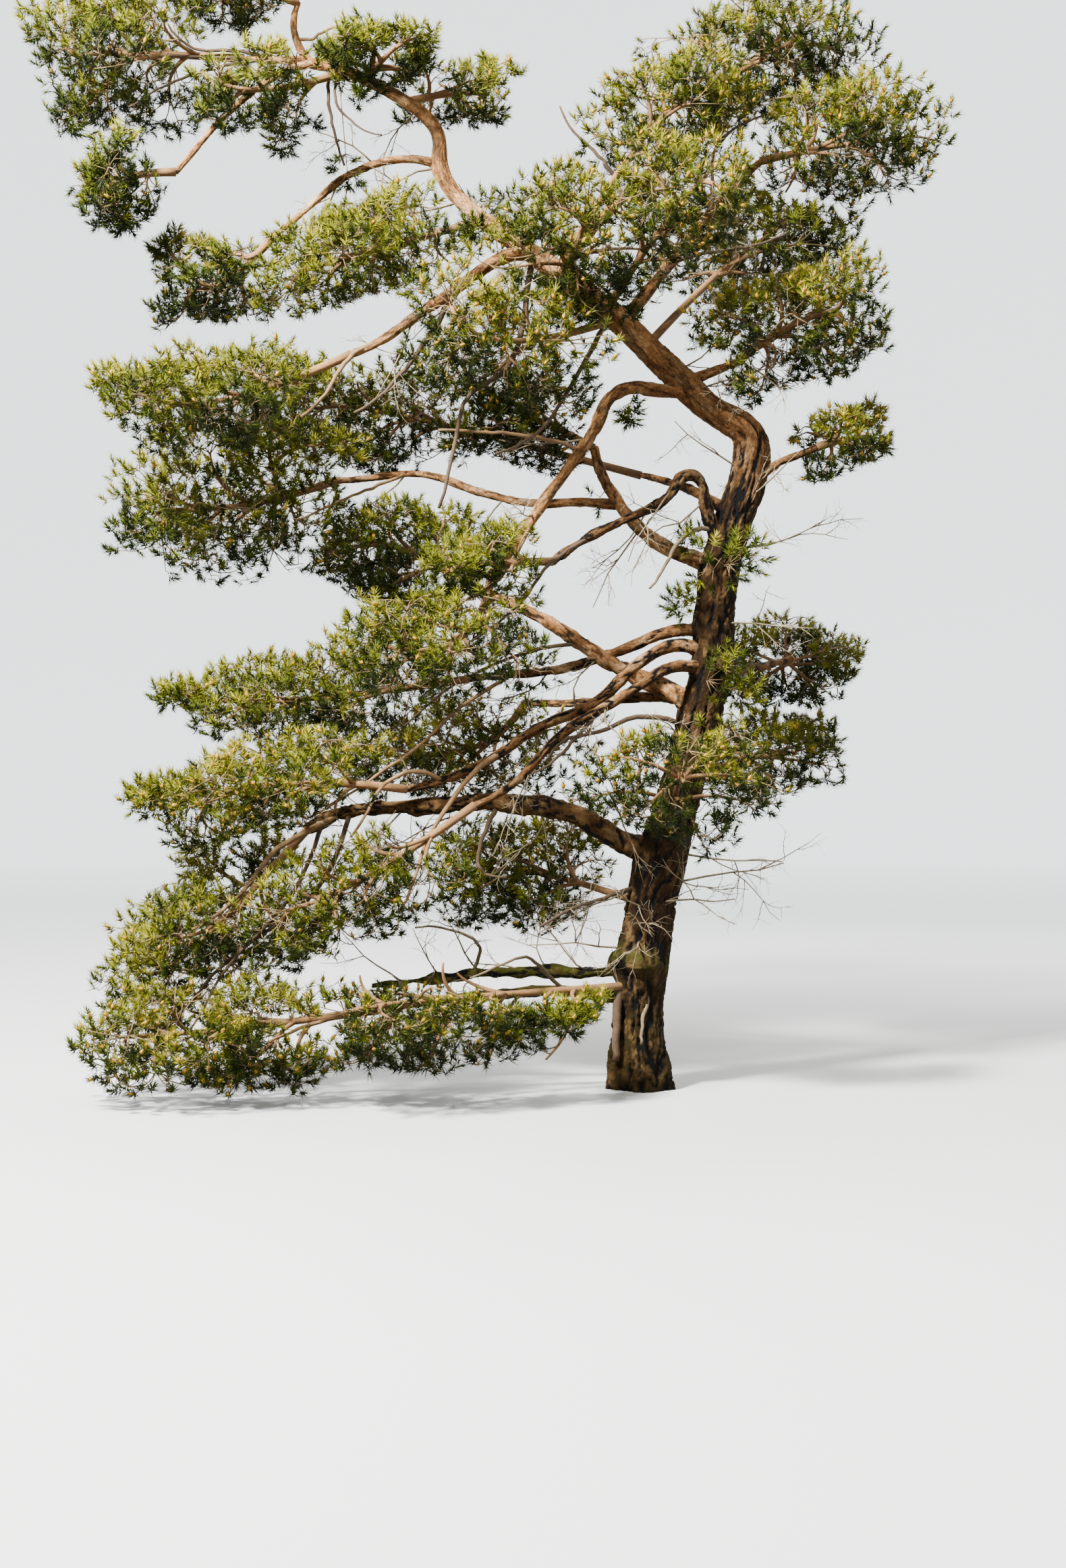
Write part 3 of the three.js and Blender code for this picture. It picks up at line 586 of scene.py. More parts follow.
# run, azimuth, height, spread down, spread up and spread around of each swelling, in millimetres
# and degrees
SWELLINGS = [
    (900, 240, 80, 38, 170, 60), (860, 160, 55, 60, 150, 40), (640, 300, -45, 140, 150, 40),
    (300, 200, 70, 260, 320, 16), (220, 285, 45, 260, 240, 14), (150, 330, 40, 200, 240, 18),
    (500, 235, -25, 200, 160, 22), (2050, 285, 26, 120, 130, 30), (4790, 20, 22, 170, 150, 45),
    (5130, 250, 22, 120, 120, 45), (6820, 270, 16, 140, 140, 50), (7980, 200, 14, 90, 90, 60),
    (1650, 300, 24, 100, 120, 35), (3500, 200, 18, 110, 130, 40),
]

trunk_bark = extruded_limb(
    "trunk_bark", lines["trunk"], np.linspace(0, lines["trunk"].length, TRUNK_RINGS + 1),
    TRUNK_SIDES, trunk_radius, TRUNK_LEVELS)
trunk_points = points_of(trunk_bark)
trunk_run, trunk_places = bark_places(trunk_points, lines["trunk"])
print("trunk:", len(trunk_points), "points")

# %% Plates and swellings of the trunk
on_plate, plate_chance = furrows(trunk_places, FURROW_WIDTH, FURROW_LENGTH, 1)
flake_edge, flake_chance = plates(trunk_places, FLAKE_WIDTH, FLAKE_LENGTH, 2)
depth = np.interp(trunk_run / MM, *np.array(FISSURES, float).T) * MM
on_flake = smoothstep(0.0, 0.22, flake_edge)
relief = depth * (on_plate - 0.75 + 0.35 * (plate_chance - 0.5) * on_plate)
relief += (0.25 * depth + 0.0012) * (on_flake - 0.7 + 0.6 * (flake_chance - 0.5) * on_flake)


def facing(line, run, places_out, azimuth):
    """How far round each point lies from an azimuth, in degrees, about the line at that run."""
    away = places_out - line.at(run)
    return (np.degrees(np.arctan2(away[:, 1], away[:, 0])) - azimuth + 180) % 360 - 180


swelling = np.zeros(len(trunk_points))
for run, azimuth, height, down, up, around in SWELLINGS:
    turned = facing(lines["trunk"], trunk_run, trunk_points, azimuth)
    beyond = trunk_run / MM - run
    near = (beyond / np.where(beyond < 0, down, up)) ** 2 + (turned / around) ** 2
    swelling += height * MM * np.exp(-near)
for name, (parent, at, length, root, tip, course) in LIMBS.items():
    if parent == "trunk":
        turned = facing(lines["trunk"], trunk_run, trunk_points, course[0][0])
        near = ((trunk_run / MM - at) / root / 1.1) ** 2 + (turned / 48) ** 2
        swelling += 0.16 * root * MM * np.exp(-near)
out = normals_of(trunk_bark)
at_foot = smoothstep(0.0, 0.06, trunk_points[:, 2])[:, None]
out[:, 2] *= at_foot[:, 0]
cap = (trunk_points[:, 2] < 1e-4) & (np.hypot(trunk_places[:, 0], trunk_places[:, 1]) < 0.2)
moved = trunk_points + out * (relief + swelling)[:, None] * ~cap[:, None]
moved[:, 2] = moved[:, 2].clip(0, None)
trunk_bark.data.vertices.foreach_set("co", moved.astype(np.float32).ravel())
trunk_bark.data.update()
print("fissures up to", round(1000 * (relief.max() - relief.min())), "mm deep")


# %% [markdown]
# The finish reads three things that the relief already knows: the place on the straightened limb,
# how deep in a fissure a point lies, and how warm the bark is there. Pine bark is grey-brown and
# dull at the foot and turns to a warm orange tan where it is young. The old bark is painted darker
# than its own colour, as painted shade of the crown, and its fissures as painted shade.

# %% Bark facts for the finish
def keep_facts(thing, places, crack, warmth, moss):
    facts = {"bark": ("FLOAT_VECTOR", places), "crack": ("FLOAT", crack),
             "warmth": ("FLOAT", warmth), "moss": ("FLOAT", moss)}
    for name, (kind, values) in facts.items():
        attribute = thing.data.attributes.new(name, kind, "POINT")
        field = "vector" if kind == "FLOAT_VECTOR" else "value"
        attribute.data.foreach_set(field, np.asarray(values, np.float32).ravel())


trunk_warmth = smoothstep(4.3, 5.5, trunk_run)
foot_moss = smoothstep(1.2, 0.2, trunk_run) * 0.2
burl_moss = np.exp(-((trunk_run - 0.97) / 0.09) ** 2) * 0.75
# the crack fact is how deep in a fissure each point lies, which the finish paints as painted shade
keep_facts(trunk_bark, trunk_places, (1 - on_plate) * 0.7 + (1 - on_flake) * 0.3,
           trunk_warmth, np.maximum(foot_moss, burl_moss))

# %% [markdown]
# ## Boughs
# Each bough is pulled out of its parent in the same way, with fewer rings. Its bark is thinner,
# so its flakes are small and shallow, and it has the knots of shed twigs.

# %% Boughs
BOUGH_SIDES = 6
BOUGH_LEVELS = 2
BOUGH_RING_SPACING = 0.055
KNOT_SPACING = 0.27
# how warm the bark is, from grey-brown at 0 to orange at 1, and how mossy it is
BARK_OF = {
    "low_bough": (0.25, 0.15), "shelf_stub": (0.0, 0.9), "low_left_bough": (0.1, 0.5),
    "swept_bough": (0.4, 0), "upper_swept_bough": (0.35, 0), "front_swept_bough": (0.35, 0),
    "crossing_bough": (0.75, 0), "hook_bough": (0.2, 0), "rising_bough": (0.8, 0),
    "long_bough": (0.9, 0), "back_low_bough": (0.2, 0.2), "back_right_bough": (0.4, 0),
    "back_left_bough": (0.4, 0), "back_mid_bough": (0.6, 0), "right_mid_bough": (0.5, 0),
}

# how knobbly a bough is, as a share of its root
WAVE_OF = {"shelf_stub": 0.34, "low_left_bough": 0.22, "low_bough": 0.16, "hook_bough": 0.16}

boughs = []
for number, name in enumerate(LIMBS):
    line = lines[name]
    root = LIMBS[name][3] * MM
    count = max(round(line.length / BOUGH_RING_SPACING), 6)
    bough = extruded_limb(
        name + "_bark", line, np.linspace(0, line.length, count + 1), BOUGH_SIDES,
        lambda run, angles: bough_radius(name, run) * np.ones(len(angles)), BOUGH_LEVELS)
    points = points_of(bough)
    run, places = bark_places(points, line)
    flake, luck = furrows(places, 0.07, 0.2, number + 3)
    bump = 0.07 * root * (flake - 0.7 + 0.4 * (luck - 0.5) * flake)
    bump += WAVE_OF.get(name, 0.1) * root * np.array([
        noise.noise(Vector((x, y, z)) * 7 + Vector((number * 2.3, 0, 0))) for x, y, z in points])
    knots = np.arange(0.3, line.length - 0.1, KNOT_SPACING)
    for count, knot in enumerate(knots):
        spot = line.at(knot) + bough_radius(name, knot) * unit(
            np.cross(line.heading(knot), direction(count * 137.5, 20 * math.sin(count))))
        bump += 0.16 * bough_radius(name, knot) * np.exp(
            -((points - spot) ** 2).sum(1) / (0.5 * bough_radius(name, knot)) ** 2)
    moved = points + normals_of(bough) * bump[:, None]
    bough.data.vertices.foreach_set("co", moved.astype(np.float32).ravel())
    warmth, moss = BARK_OF.get(name, (0.95, 0))
    # 1 - flake is the bough's crack fact, which the finish paints as painted shade
    keep_facts(bough, places + (0, 0, number * 3.1), 1 - flake, np.full(len(points), warmth),
               np.full(len(points), moss))
    boughs.append(bough)
bpy.ops.object.select_all(action="DESELECT")
for bough in boughs:
    bough.select_set(True)
bpy.context.view_layer.objects.active = boughs[0]
bpy.ops.object.join()
bough_bark = bpy.context.object
bough_bark.name = bough_bark.data.name = "bough_bark"
print("boughs:", len(bough_bark.data.polygons), "faces")


# %% [markdown]
# ## Finish of the bark
# Grey-brown plates, painted near black as partly their own dark colour and partly painted shade of
# the crown, with fissures painted darker still as painted shade, and a little lichen on the trunk's
# foot. Above, peeling orange flakes with paler, almost pink edges, and dark patches that are partly
# flakes and partly painted dappled shade of the foliage. Both are one finish that turns from one to
# the other with the warmth that each point carries.

# %% Bark finish
def bark_finish(name):
    finish = Finish(name)
    facts = {fact: finish.node("Attribute", {"attribute_name": fact}, {}, output=output)
             for fact, output in [("bark", 1), ("crack", 2), ("warmth", 2), ("moss", 2)]}
    grain = finish.noise(finish.stretch(facts["bark"], 1, 0.4), 75, 6, 0.7)
    scales = finish.noise(finish.stretch(facts["bark"], 1, 0.55), 24, 5, 0.6)
    patch = finish.noise(finish.stretch(facts["bark"], 1, 0.6), 8, 4)
    thin_crack = 1 - (abs(scales - 0.5) * 16).clipped()
    # painted shade: the old bark's own grey-brown is painted near black for the crown's shade on the
    # trunk
    old_bark_and_shade = finish.mix((grain * 2.2 - 0.6).clipped(), paint(18, 11, 4), paint(60, 41, 17))
    old_bark_and_shade = finish.mix((patch * 3.4 - 1.6).clipped() * 0.65, old_bark_and_shade, paint(104, 78, 40))
    young = finish.mix((grain * 2 - 0.5).clipped(), paint(146, 92, 50), paint(228, 166, 106))
    young = finish.mix((patch * 3.6 - 1.7).clipped() * 0.85, young, paint(228, 194, 148))
    # dark patches on the young bark: partly darker flakes, partly painted dappled shade of the
    # foliage
    young = finish.mix((1.75 - patch * 3.9).clipped() * 0.65, young, paint(70, 48, 30))
    young = finish.mix(thin_crack * 0.55, young, paint(54, 34, 19))
    warm = (facts["warmth"] + (patch - 0.5) * 1.1).clipped()
    colour = finish.mix(warm, old_bark_and_shade, young)
    mossy = (facts["moss"] * (scales * 3 - 0.7)).clipped()
    colour = finish.mix(mossy, colour, paint(64, 66, 22))
    # painted shade: fissures and furrows are painted almost black, less so on young bark
    deep = (facts["crack"] * (1.6 - facts["warmth"] * 0.9)).clipped()
    colour = finish.mix(deep, colour, paint(10, 6, 3))
    height = grain * 0.5 + scales * 0.9 - thin_crack * 0.25
    bump = finish.node("Bump", {}, {"Height": height, "Strength": 0.8, "Distance": 0.012})
    return finish.surface(Base_Color=colour, Roughness=0.86 + 0.1 * grain, Normal=bump,
                          Specular_IOR_Level=0.15)


trunk_bark.data.materials.append(bark_finish("trunk_bark"))
bough_bark.data.materials.append(bark_finish("bough_bark"))

# %% [markdown]
# ## Growing the foliage
# A mass of foliage grows from one stem. The stem bends from its limb through the middle of the
# mass's space. Shoots then end on a golden spiral, from the far end back toward the root, and
# each one leaves from the nearest wood already grown. This is the solid model's own rule. Here it
# is carried two orders further: each spray place carries side twigs by the same rule, and each
# side twig carries shoots, whose ends hold the tufts of needles.

# %% Spaces and the growing rule
STEM_SINK = 20
STEM_PAST_MIDDLE = 0.55
STEM_STATIONS = 12
FIRST_STATION = 3
BRANCH_SLANT = 0.5
USUAL_HALF = (750, 700, 350)
USUAL_SPRAYS = 9
MOST_SPRAYS = 13
FEWEST_SPRAYS = 7
GOLDEN_TURN = math.pi * (3 - math.sqrt(5))
FAR_PLACE, NEAR_PLACE = 0.96, -0.66
LEAST_OUT, MOST_OUT = 0.62, 0.8
SPRAY_SIZE = 0.58
SPRAY_FLATTEN = 1.15
EDGE_NEAR, EDGE_FAR = 0.84, 1.3
EDGE_GRAIN = 1.9
OUTER_TIP = 0.22
# masses that reach a little further than their neighbours, or less far
EDGE_OF = {"long_mass": 1.1, "third_mass": 1.08, "orange_mass": 1.12, "crossing_mass": 1.15,
           "swept_mass": 1.08, "crown_left_mass": 1.08, "leader_mass": 1.08,
           "under_leader_mass": 1.08, "low_back_mass": 1.1, "crown_hanging_mass": 1.15,
           "upper_swept_mass": 1.06, "right_mass": 1.08, "front_mass": 1.1, "crown_right_mass": 0.9}


def chance(seed, count):
    """A repeatable value from 0 to 1 for a pair of numbers."""
    value = np.sin(seed * 127.1 + count * 311.7) * 43758.5453
    return value - np.floor(value)


def curve(start, bend, end, count=25):
    share = np.linspace(0, 1, count)[:, None]
    return (1 - share) ** 2 * start + 2 * share * (1 - share) * bend + share ** 2 * end


spaces = []
for number, (name, (limb, at, middle, half, tilt)) in enumerate(MASSES.items()):
    run = at if at is not None else LIMBS[limb][2] - STEM_SINK
    root = lines[limb].at(run * MM)
    middle, half = np.array(middle) * MM, np.array(half) * MM
    along = direction(np.degrees(np.arctan2(middle[1] - root[1], middle[0] - root[0])), tilt)
    across = unit(np.cross(Z_AXIS, along))
    axes = np.array([along, across, np.cross(along, across)])
    end = middle + along * half[0] * STEM_PAST_MIDDLE
    bend = 2 * middle - 0.5 * root - 0.5 * end
    spaces.append({
        "name": name, "seed": number + 1, "middle": middle, "axes": axes, "half": half,
        "stem": Line(curve(root, bend, end)),
        "size": SPRAY_SIZE * np.cbrt(half.prod()),
        "flatness": min(SPRAY_FLATTEN * half[2] / half[1], 1)})


def far_out(space, points):
    """How far out points lie in a space: 0 in its middle and 1 on its edge."""
    return np.linalg.norm((points - space["middle"]) @ space["axes"].T / space["half"], axis=-1)


def golden_ends(count, seed):
    """Ends of shoots in a ball of radius 1: a golden spiral from its far end back."""
    order = np.arange(count)
    along = FAR_PLACE + (NEAR_PLACE - FAR_PLACE) * (order + 0.5) / count
    around = np.sqrt(1 - along ** 2)
    turn = GOLDEN_TURN * order + seed
    out = LEAST_OUT + (MOST_OUT - LEAST_OUT) * chance(seed, order)
    return np.stack([along, around * np.cos(turn), around * np.sin(turn)], 1) * out[:, None]


def nearest_foot(places, end, middle, along):
    """The nearest wood that lies back along the way from a new shoot's end."""
    aside = end - middle
    aside = np.linalg.norm(aside - aside.dot(along) * along)
    wish = end - BRANCH_SLANT * aside * along
    return ((places - wish) ** 2).sum(1).argmin()


print("sprays about", round(np.mean([space["size"] for space in spaces]), 2), "m in radius")

# %% [markdown]
# A shoot may not leave its mass's space, lie in a neighbour's, touch a limb or reach the ground.
# The limbs are kept as balls along their centre lines, so the test is one distance per ball.

# %% Room for shoots
LIMB_BALL_SPACING = 0.06
LIMB_ROOM = 0.035
GROUND_ROOM = 0.09

balls, ball_radii = [], []
for name, line in lines.items():
    runs = np.arange(0, line.length, LIMB_BALL_SPACING)
    balls.append(line.at(runs))
    ball_radii.append(trunk_radius(runs, 0.0) if name == "trunk" else bough_radius(name, runs))
balls, ball_radii = np.concatenate(balls), np.concatenate(ball_radii)


def ragged_edge(space, points):
    """How far out foliage may reach at each point: bays and tongues, and a point at the far end."""
    grain = [noise.noise(Vector(point * EDGE_GRAIN) + Vector((space["seed"] * 5.1, 0, 0)))
             for point in points]
    far_end = (unit(points - space["middle"]) @ space["axes"][0]).clip(0, 1)
    ragged = EDGE_NEAR + (EDGE_FAR - EDGE_NEAR) * (0.5 + 0.9 * np.array(grain)).clip(0, 1)
    return ragged * EDGE_OF.get(space["name"], 1) + OUTER_TIP * (far_end ** 6 - 0.3 * (1 - far_end))


def has_room(space, points, single=False):
    """Whether each point is in this mass's space and clear of limbs, neighbours and ground."""
    out = far_out(space, points)
    edge = SINGLE_EDGE if single else ragged_edge(space, points)
    ceiling = CEILINGS.get(space["name"], np.inf) * MM
    fine = (out < edge) & (points[:, 2] > GROUND_ROOM) & (single | (points[:, 2] < ceiling))
    for other in spaces:
        if other is not space and not single:
            fine &= far_out(other, points) > out * 0.95
    gaps = np.linalg.norm(points[:, None] - balls[None], axis=2) - ball_radii - LIMB_ROOM
    return fine & (gaps.min(1) > 0)


# %% [markdown]
# A few masses also have sprays of their own: slim ones that make the tips of the layers pointed,
# and ones that hang into the gaps between layers. Some masses are thinner and show the sky.

# %% Single sprays and thin masses
SINGLE_SPRAYS = {
    "third_mass": [(-3700, -550, 5100)],
    "long_mass": [(-3680, 400, 4260), (-2740, 0, 4785), (-2340, 0, 4760)],
    "upper_swept_mass": [(-3420, 350, 2920)],
    "swept_mass": [(-3500, -300, 2170)],
    "crown_left_mass": [(-4150, 0, 7230)],
    "second_mass": [(-3510, 20, 6260)],
    "leader_mass": [(-740, -500, 5910), (-500, -500, 5690)],
    "back_mid_mass": [(-1990, 600, 4760), (-1250, 500, 4870)],
    "crossing_mass": [(-1955, 200, 3680)],
    "orange_mass": [(-1550, 200, 3630)],
    "low_left_mass": [(-2510, 200, 1040), (-3250, 250, 1700), (-2800, 350, 1690)],
    "low_far_mass": [(-2450, -700, 230), (-2900, -900, 220)],
    "low_front_mass": [(-960, -850, 560), (-620, -800, 600), (-380, -620, 640), (-700, -900, 330),
                       (-2000, -800, 310), (-1550, -900, 290), (-1120, -800, 270)],
}
SINGLE_REACH = np.array([[0.85], [0.5], [0.5]])
SINGLE_EDGE = 1.35
THINNED = {"right_mid_mass": 0.45, "crown_hanging_mass": 0.4, "crown_right_mass": 0.3,
           "front_mass": 0.3, "back_low_mass": 0.1}
# the mossy low stub shows above the foremost layer, so that layer stays below it
CEILINGS = {"low_front_mass": 830}

# %% Twigs and shoots
SIDE_TWIGS = 15
SIDE_REACH = 1.02
SHOOTS = 7
SHOOT_REACH = 0.4
UPTURN = 0.55
# Shoots that hang under their twig mostly have no light, and are dropped by this chance.
SHADED_LOSS = 0.7

twigs = {"stem": [], "twig": [], "side": []}
shoot_rows = []


def bent(foot, heading, end, count, lead=0.35):
    """A twig that leaves its foot partly along the wood it grows from."""
    length = np.linalg.norm(end - foot)
    return curve(foot, foot + (heading * lead + (end - foot) / length * (0.5 - lead / 3)) * length,
                 end, count)


for space in spaces:
    stem, axes, half, seed = space["stem"], space["axes"], space["half"], space["seed"]
    twigs["stem"].append(stem.at(np.linspace(0, stem.length, 9)))
    stations = np.linspace(0, stem.length, STEM_STATIONS + 1)[FIRST_STATION:]
    wood, headings = list(stem.at(stations)), list(stem.heading(stations))
    scale = math.sqrt(half.prod() / np.prod(np.array(USUAL_HALF) * MM))
    count = min(max(round(USUAL_SPRAYS * scale), FEWEST_SPRAYS), MOST_SPRAYS)
    spray_ends = space["middle"] + golden_ends(count, seed) * half @ axes
    singles = np.array(SINGLE_SPRAYS.get(space["name"], [])).reshape(-1, 3) * MM
    for order, end in enumerate(np.concatenate([spray_ends, singles])):
        single = order >= count
        foot = nearest_foot(np.array(wood), end, space["middle"], axes[0])
        twig = Line(bent(wood[foot], headings[foot], end, 8))
        twigs["twig"].append(twig.points)
        heading = unit(end - wood[foot])
        across = unit(np.cross(heading, axes[2]))
        turned = np.array([heading, across, np.cross(heading, across)])
        wood.append(twig.at(twig.length / 2))
        headings.append(heading)
        part_seed = seed * 17 + order
        reach = SINGLE_REACH if single else SIDE_REACH
        side_ends = golden_ends(SIDE_TWIGS, part_seed) @ (turned * reach) * space["size"]
        side_ends += np.outer(side_ends @ axes[2] * (space["flatness"] - 1), axes[2])
        side_stations = np.linspace(0.35, 1, 7) * twig.length
        side_wood, side_headings = list(twig.at(side_stations)), list(twig.heading(side_stations))
        for rank, side_end in enumerate(end + side_ends):
            near = nearest_foot(np.array(side_wood), side_end, end, heading)
            side = Line(bent(side_wood[near], side_headings[near], side_end, 4))
            side_heading = unit(side_end - side_wood[near])
            if not has_room(space, side.points[2:], single).all():
                continue
            twigs["side"].append(side.points)
            side_wood.append(side.at(side.length * 0.6))
            side_headings.append(side_heading)
            side_across = unit(np.cross(side_heading, axes[2] + 0.01 * across))
            side_turned = np.array([side_heading, side_across, np.cross(side_heading, side_across)])
            shoot_seed = part_seed * 13 + rank
            shoot_ends = golden_ends(SHOOTS, shoot_seed) @ side_turned
            shoot_ends = side_end + shoot_ends * space["size"] * SHOOT_REACH
            grown = side.at(np.linspace(0.45, 1, 4) * side.length)
            fine = has_room(space, shoot_ends, single)
            fine &= chance(shoot_seed, np.arange(SHOOTS) + 90) > THINNED.get(space["name"], 0)
            shaded = (shoot_ends - side_end) @ axes[2] < -0.03 * space["size"]
            fine &= ~shaded | (chance(shoot_seed, np.arange(SHOOTS) + 60) > SHADED_LOSS)
            for place, shoot_end in enumerate(shoot_ends):
                if fine[place]:
                    low = grown[nearest_foot(grown, shoot_end, side_end, side_heading)]
                    shoot_rows.append((low, shoot_end, space["seed"], shoot_seed * 7 + place))
print({kind: len(rows) for kind, rows in twigs.items()}, "shoots:", len(shoot_rows))

# %% [markdown]
# Old pines also sprout straight from the trunk and from thick boughs. These sprigs are one twig
# each with a small ball of shoots at its end, and belong to no mass.

# %% Sprigs
# limb, run along it, azimuth, pitch, length, radius of the ball of shoots
SPRIGS = [
    ("trunk", 3850, 250, 20, 340, 230), ("trunk", 3990, 300, 10, 320, 220),
    ("trunk", 4080, 205, 15, 300, 170), ("trunk", 3700, 200, 0, 300, 160),
    ("trunk", 3080, 260, 5, 300, 210), ("trunk", 3030, 320, 0, 320, 190),
    ("trunk", 7420, 240, -10, 240, 130), ("trunk", 7600, 60, 30, 250, 170),
    ("trunk", 7330, 60, 35, 260, 190), ("trunk", 6950, 40, 40, 260, 180),
    ("trunk", 9160, 300, -78, 780, 170), ("crown_left_bough", 60, 190, -75, 560, 160),
    ("second_bough", 700, 250, -70, 330, 150), ("second_bough", 420, 250, -75, 380, 150),
    ("rising_bough", 1100, 250, -20, 240, 130), ("orange_bough", 420, 250, -40, 260, 140),
    ("trunk", 3920, 275, 5, 350, 200), ("trunk", 3140, 285, 15, 310, 180),
]
SPRIG_SHOOTS = 22
SPRIG_SEED = 9000
NO_MASS = 0

for number, (limb, run, azimuth, pitch, length, spread) in enumerate(SPRIGS):
    foot = lines[limb].at(run * MM)
    heading = direction(azimuth, pitch)
    sprig = Line(bent(foot, heading, foot + heading * length * MM - 0.04 * Z_AXIS, 4))
    twigs["side"].append(sprig.points)
    seed = SPRIG_SEED + number * SPRIG_SHOOTS
    across = unit(np.cross(heading, Z_AXIS))
    turned = np.array([heading, across, np.cross(heading, across)])
    grown = sprig.at(np.linspace(0.5, 1, 4) * sprig.length)
    for place, end in enumerate(golden_ends(SPRIG_SHOOTS, seed) @ turned * spread * MM * 1.2):
        end = sprig.points[-1] + end
        gaps = np.linalg.norm(end - balls, axis=1) - ball_radii - LIMB_ROOM
        if gaps.min() > 0:
            low = grown[nearest_foot(grown, end, sprig.points[-1], heading)]
            shoot_rows.append((low, end, NO_MASS, float(seed + place)))
print("sprigs:", len(SPRIGS), "shoots:", len(shoot_rows))

# %% [markdown]
# A few side branches are too thick for twigs and carry few needles: they show under and between
# the masses. Those in the sun are painted a warm tan as painted light and those in the shade a dark
# brown as painted shade. The trunk also keeps dead stubs without bark. All of them are drawn by
# rows, as the boughs are.

# %% Bare branches and dead stubs
# limb, run along it, length, root and tip diameter, then azimuth and pitch along the branch
# branches in the sun, painted a lit warm tan: painted light
BARE_PAINTED_SUNLIT = [
    ("low_bough", 2510, 1410, 52, 24, [(202, -30), (200, -24), (222, -52), (206, -42), (211, -22)]),
    ("swept_bough", 1930, 1400, 46, 20,
     [(196, -28), (202, -50), (217, -54), (223, -70), (231, -52)]),
    ("swept_bough", 2390, 960, 38, 18, [(204, 38), (198, -19), (226, -61), (208, -44)]),
    ("upper_swept_bough", 1580, 1950, 34, 16,
     [(199, -29), (200, -31), (208, -45), (196, -35), (200, -35), (206, -30), (213, -25)]),
    ("third_bough", 1500, 830, 40, 18, [(194, -16), (213, -64), (192, -35)]),
    ("long_bough", 1710, 1090, 30, 16, [(220, -26), (220, -22), (221, -26), (222, -20)]),
    ("orange_bough", 1110, 1060, 34, 18, [(189, 23), (188, 8), (185, 2), (185, 0)]),
    ("orange_bough", 1670, 1170, 36, 18, [(212, -62), (202, -62), (188, -27), (197, -37)]),
    ("crown_up_bough", 350, 380, 30, 16, [(348, -51), (339, 30), (344, 9)]),
    ("low_left_bough", 1690, 1220, 46, 20,
     [(203, -5), (203, -3), (207, -12), (216, -14), (236, -14)]),
]
# branches in the shade, painted dark brown: painted shade
BARE_PAINTED_SHADE = [
    ("trunk", 860, 780, 84, 52, [(181, 6), (240, -71), (262, -80), (262, -84)]),
    ("trunk", 7030, 2200, 52, 22,
     [(204, -73), (207, -85), (199, -70), (212, -24), (230, -73), (241, -71), (220, -68)]),
    ("trunk", 6320, 1510, 44, 18,
     [(203, -60), (202, -60), (210, -58), (210, -55), (210, -33), (213, -15)]),
    ("third_bough", 870, 1140, 46, 20, [(201, -76), (189, -54), (190, -51), (188, -27)]),
    ("crown_left_bough", 290, 830, 34, 16, [(182, 23), (185, -7), (190, 63)]),
    ("crown_left_bough", 370, 1050, 30, 14, [(187, -11), (191, -18), (192, -28), (191, -38)]),
    ("crown_left_bough", 440, 1000, 28, 14, [(182, 2), (182, 2), (182, -1), (184, -14)]),
    ("trunk", 9230, 830, 32, 16, [(251, -79), (314, -73), (316, -66)]),
    ("trunk", 9160, 790, 26, 12, [(208, -86), (337, -50), (337, -16)]),
    ("low_bough", 1300, 810, 44, 18, [(219, -50), (239, -64), (22, 0)]),
    ("low_bough", 2410, 2190, 42, 20,
     [(216, -70), (215, -67), (204, -43), (198, -31), (202, -39), (207, -53), (202, -30)]),
    ("low_bough", 2620, 1920, 36, 16,
     [(230, -64), (228, -63), (214, -53), (211, -39), (218, -45), (233, -54), (233, -44)]),
    ("crossing_bough", 1090, 1500, 34, 16,
     [(181, -4), (181, -13), (181, -23), (181, -25), (181, -42), (181, -43)]),
    ("front_swept_bough", 990, 770, 36, 16, [(202, -40), (200, -49), (209, -22)]),
    ("hook_bough", 1650, 1220, 34, 16,
     [(197, -29), (195, -35), (202, -61), (189, -36), (190, -35)]),
    ("trunk", 2680, 1280, 46, 22, [(191, 32), (198, 9), (196, -27), (197, -6), (212, -69)]),
    ("trunk", 1570, 1050, 40, 18, [(201, -21), (204, -17), (214, -14), (210, -30)]),
    ("upper_right_bough", 600, 1010, 34, 16, [(13, 28), (13, 12), (13, 12), (12, 33)]),
    ("right_bough", 250, 950, 36, 16, [(352, 22), (352, 29), (351, 32), (349, 20)]),
    ("upper_right_bough", 1060, 1090, 36, 16, [(4, 52), (100, 97), (3, 45), (8, 16)]),
    ("top_right_bough", 1080, 930, 36, 16, [(145, 81), (162, 51), (165, 43), (157, 75)]),
]
DEAD_PALE = [
    ("trunk", 4140, 980, 44, 18, [(201, 44), (215, -25), (231, -55), (214, -45)]),
    ("trunk", 820, 560, 46, 18, [(306, -48), (243, -57), (264, -69)]),
    ("low_left_bough", 580, 1170, 34, 14, [(216, 34), (244, 33), (235, -14), (202, -17)]),
    ("low_left_bough", 780, 940, 30, 12, [(228, 4), (243, -18), (276, -32), (283, -9)]),
    ("shelf_stub", 1280, 810, 30, 14, [(2, 70), (189, 28), (182, -9)]),
]
STUB_POINTS = 17
STUB_WAVE = 0.012


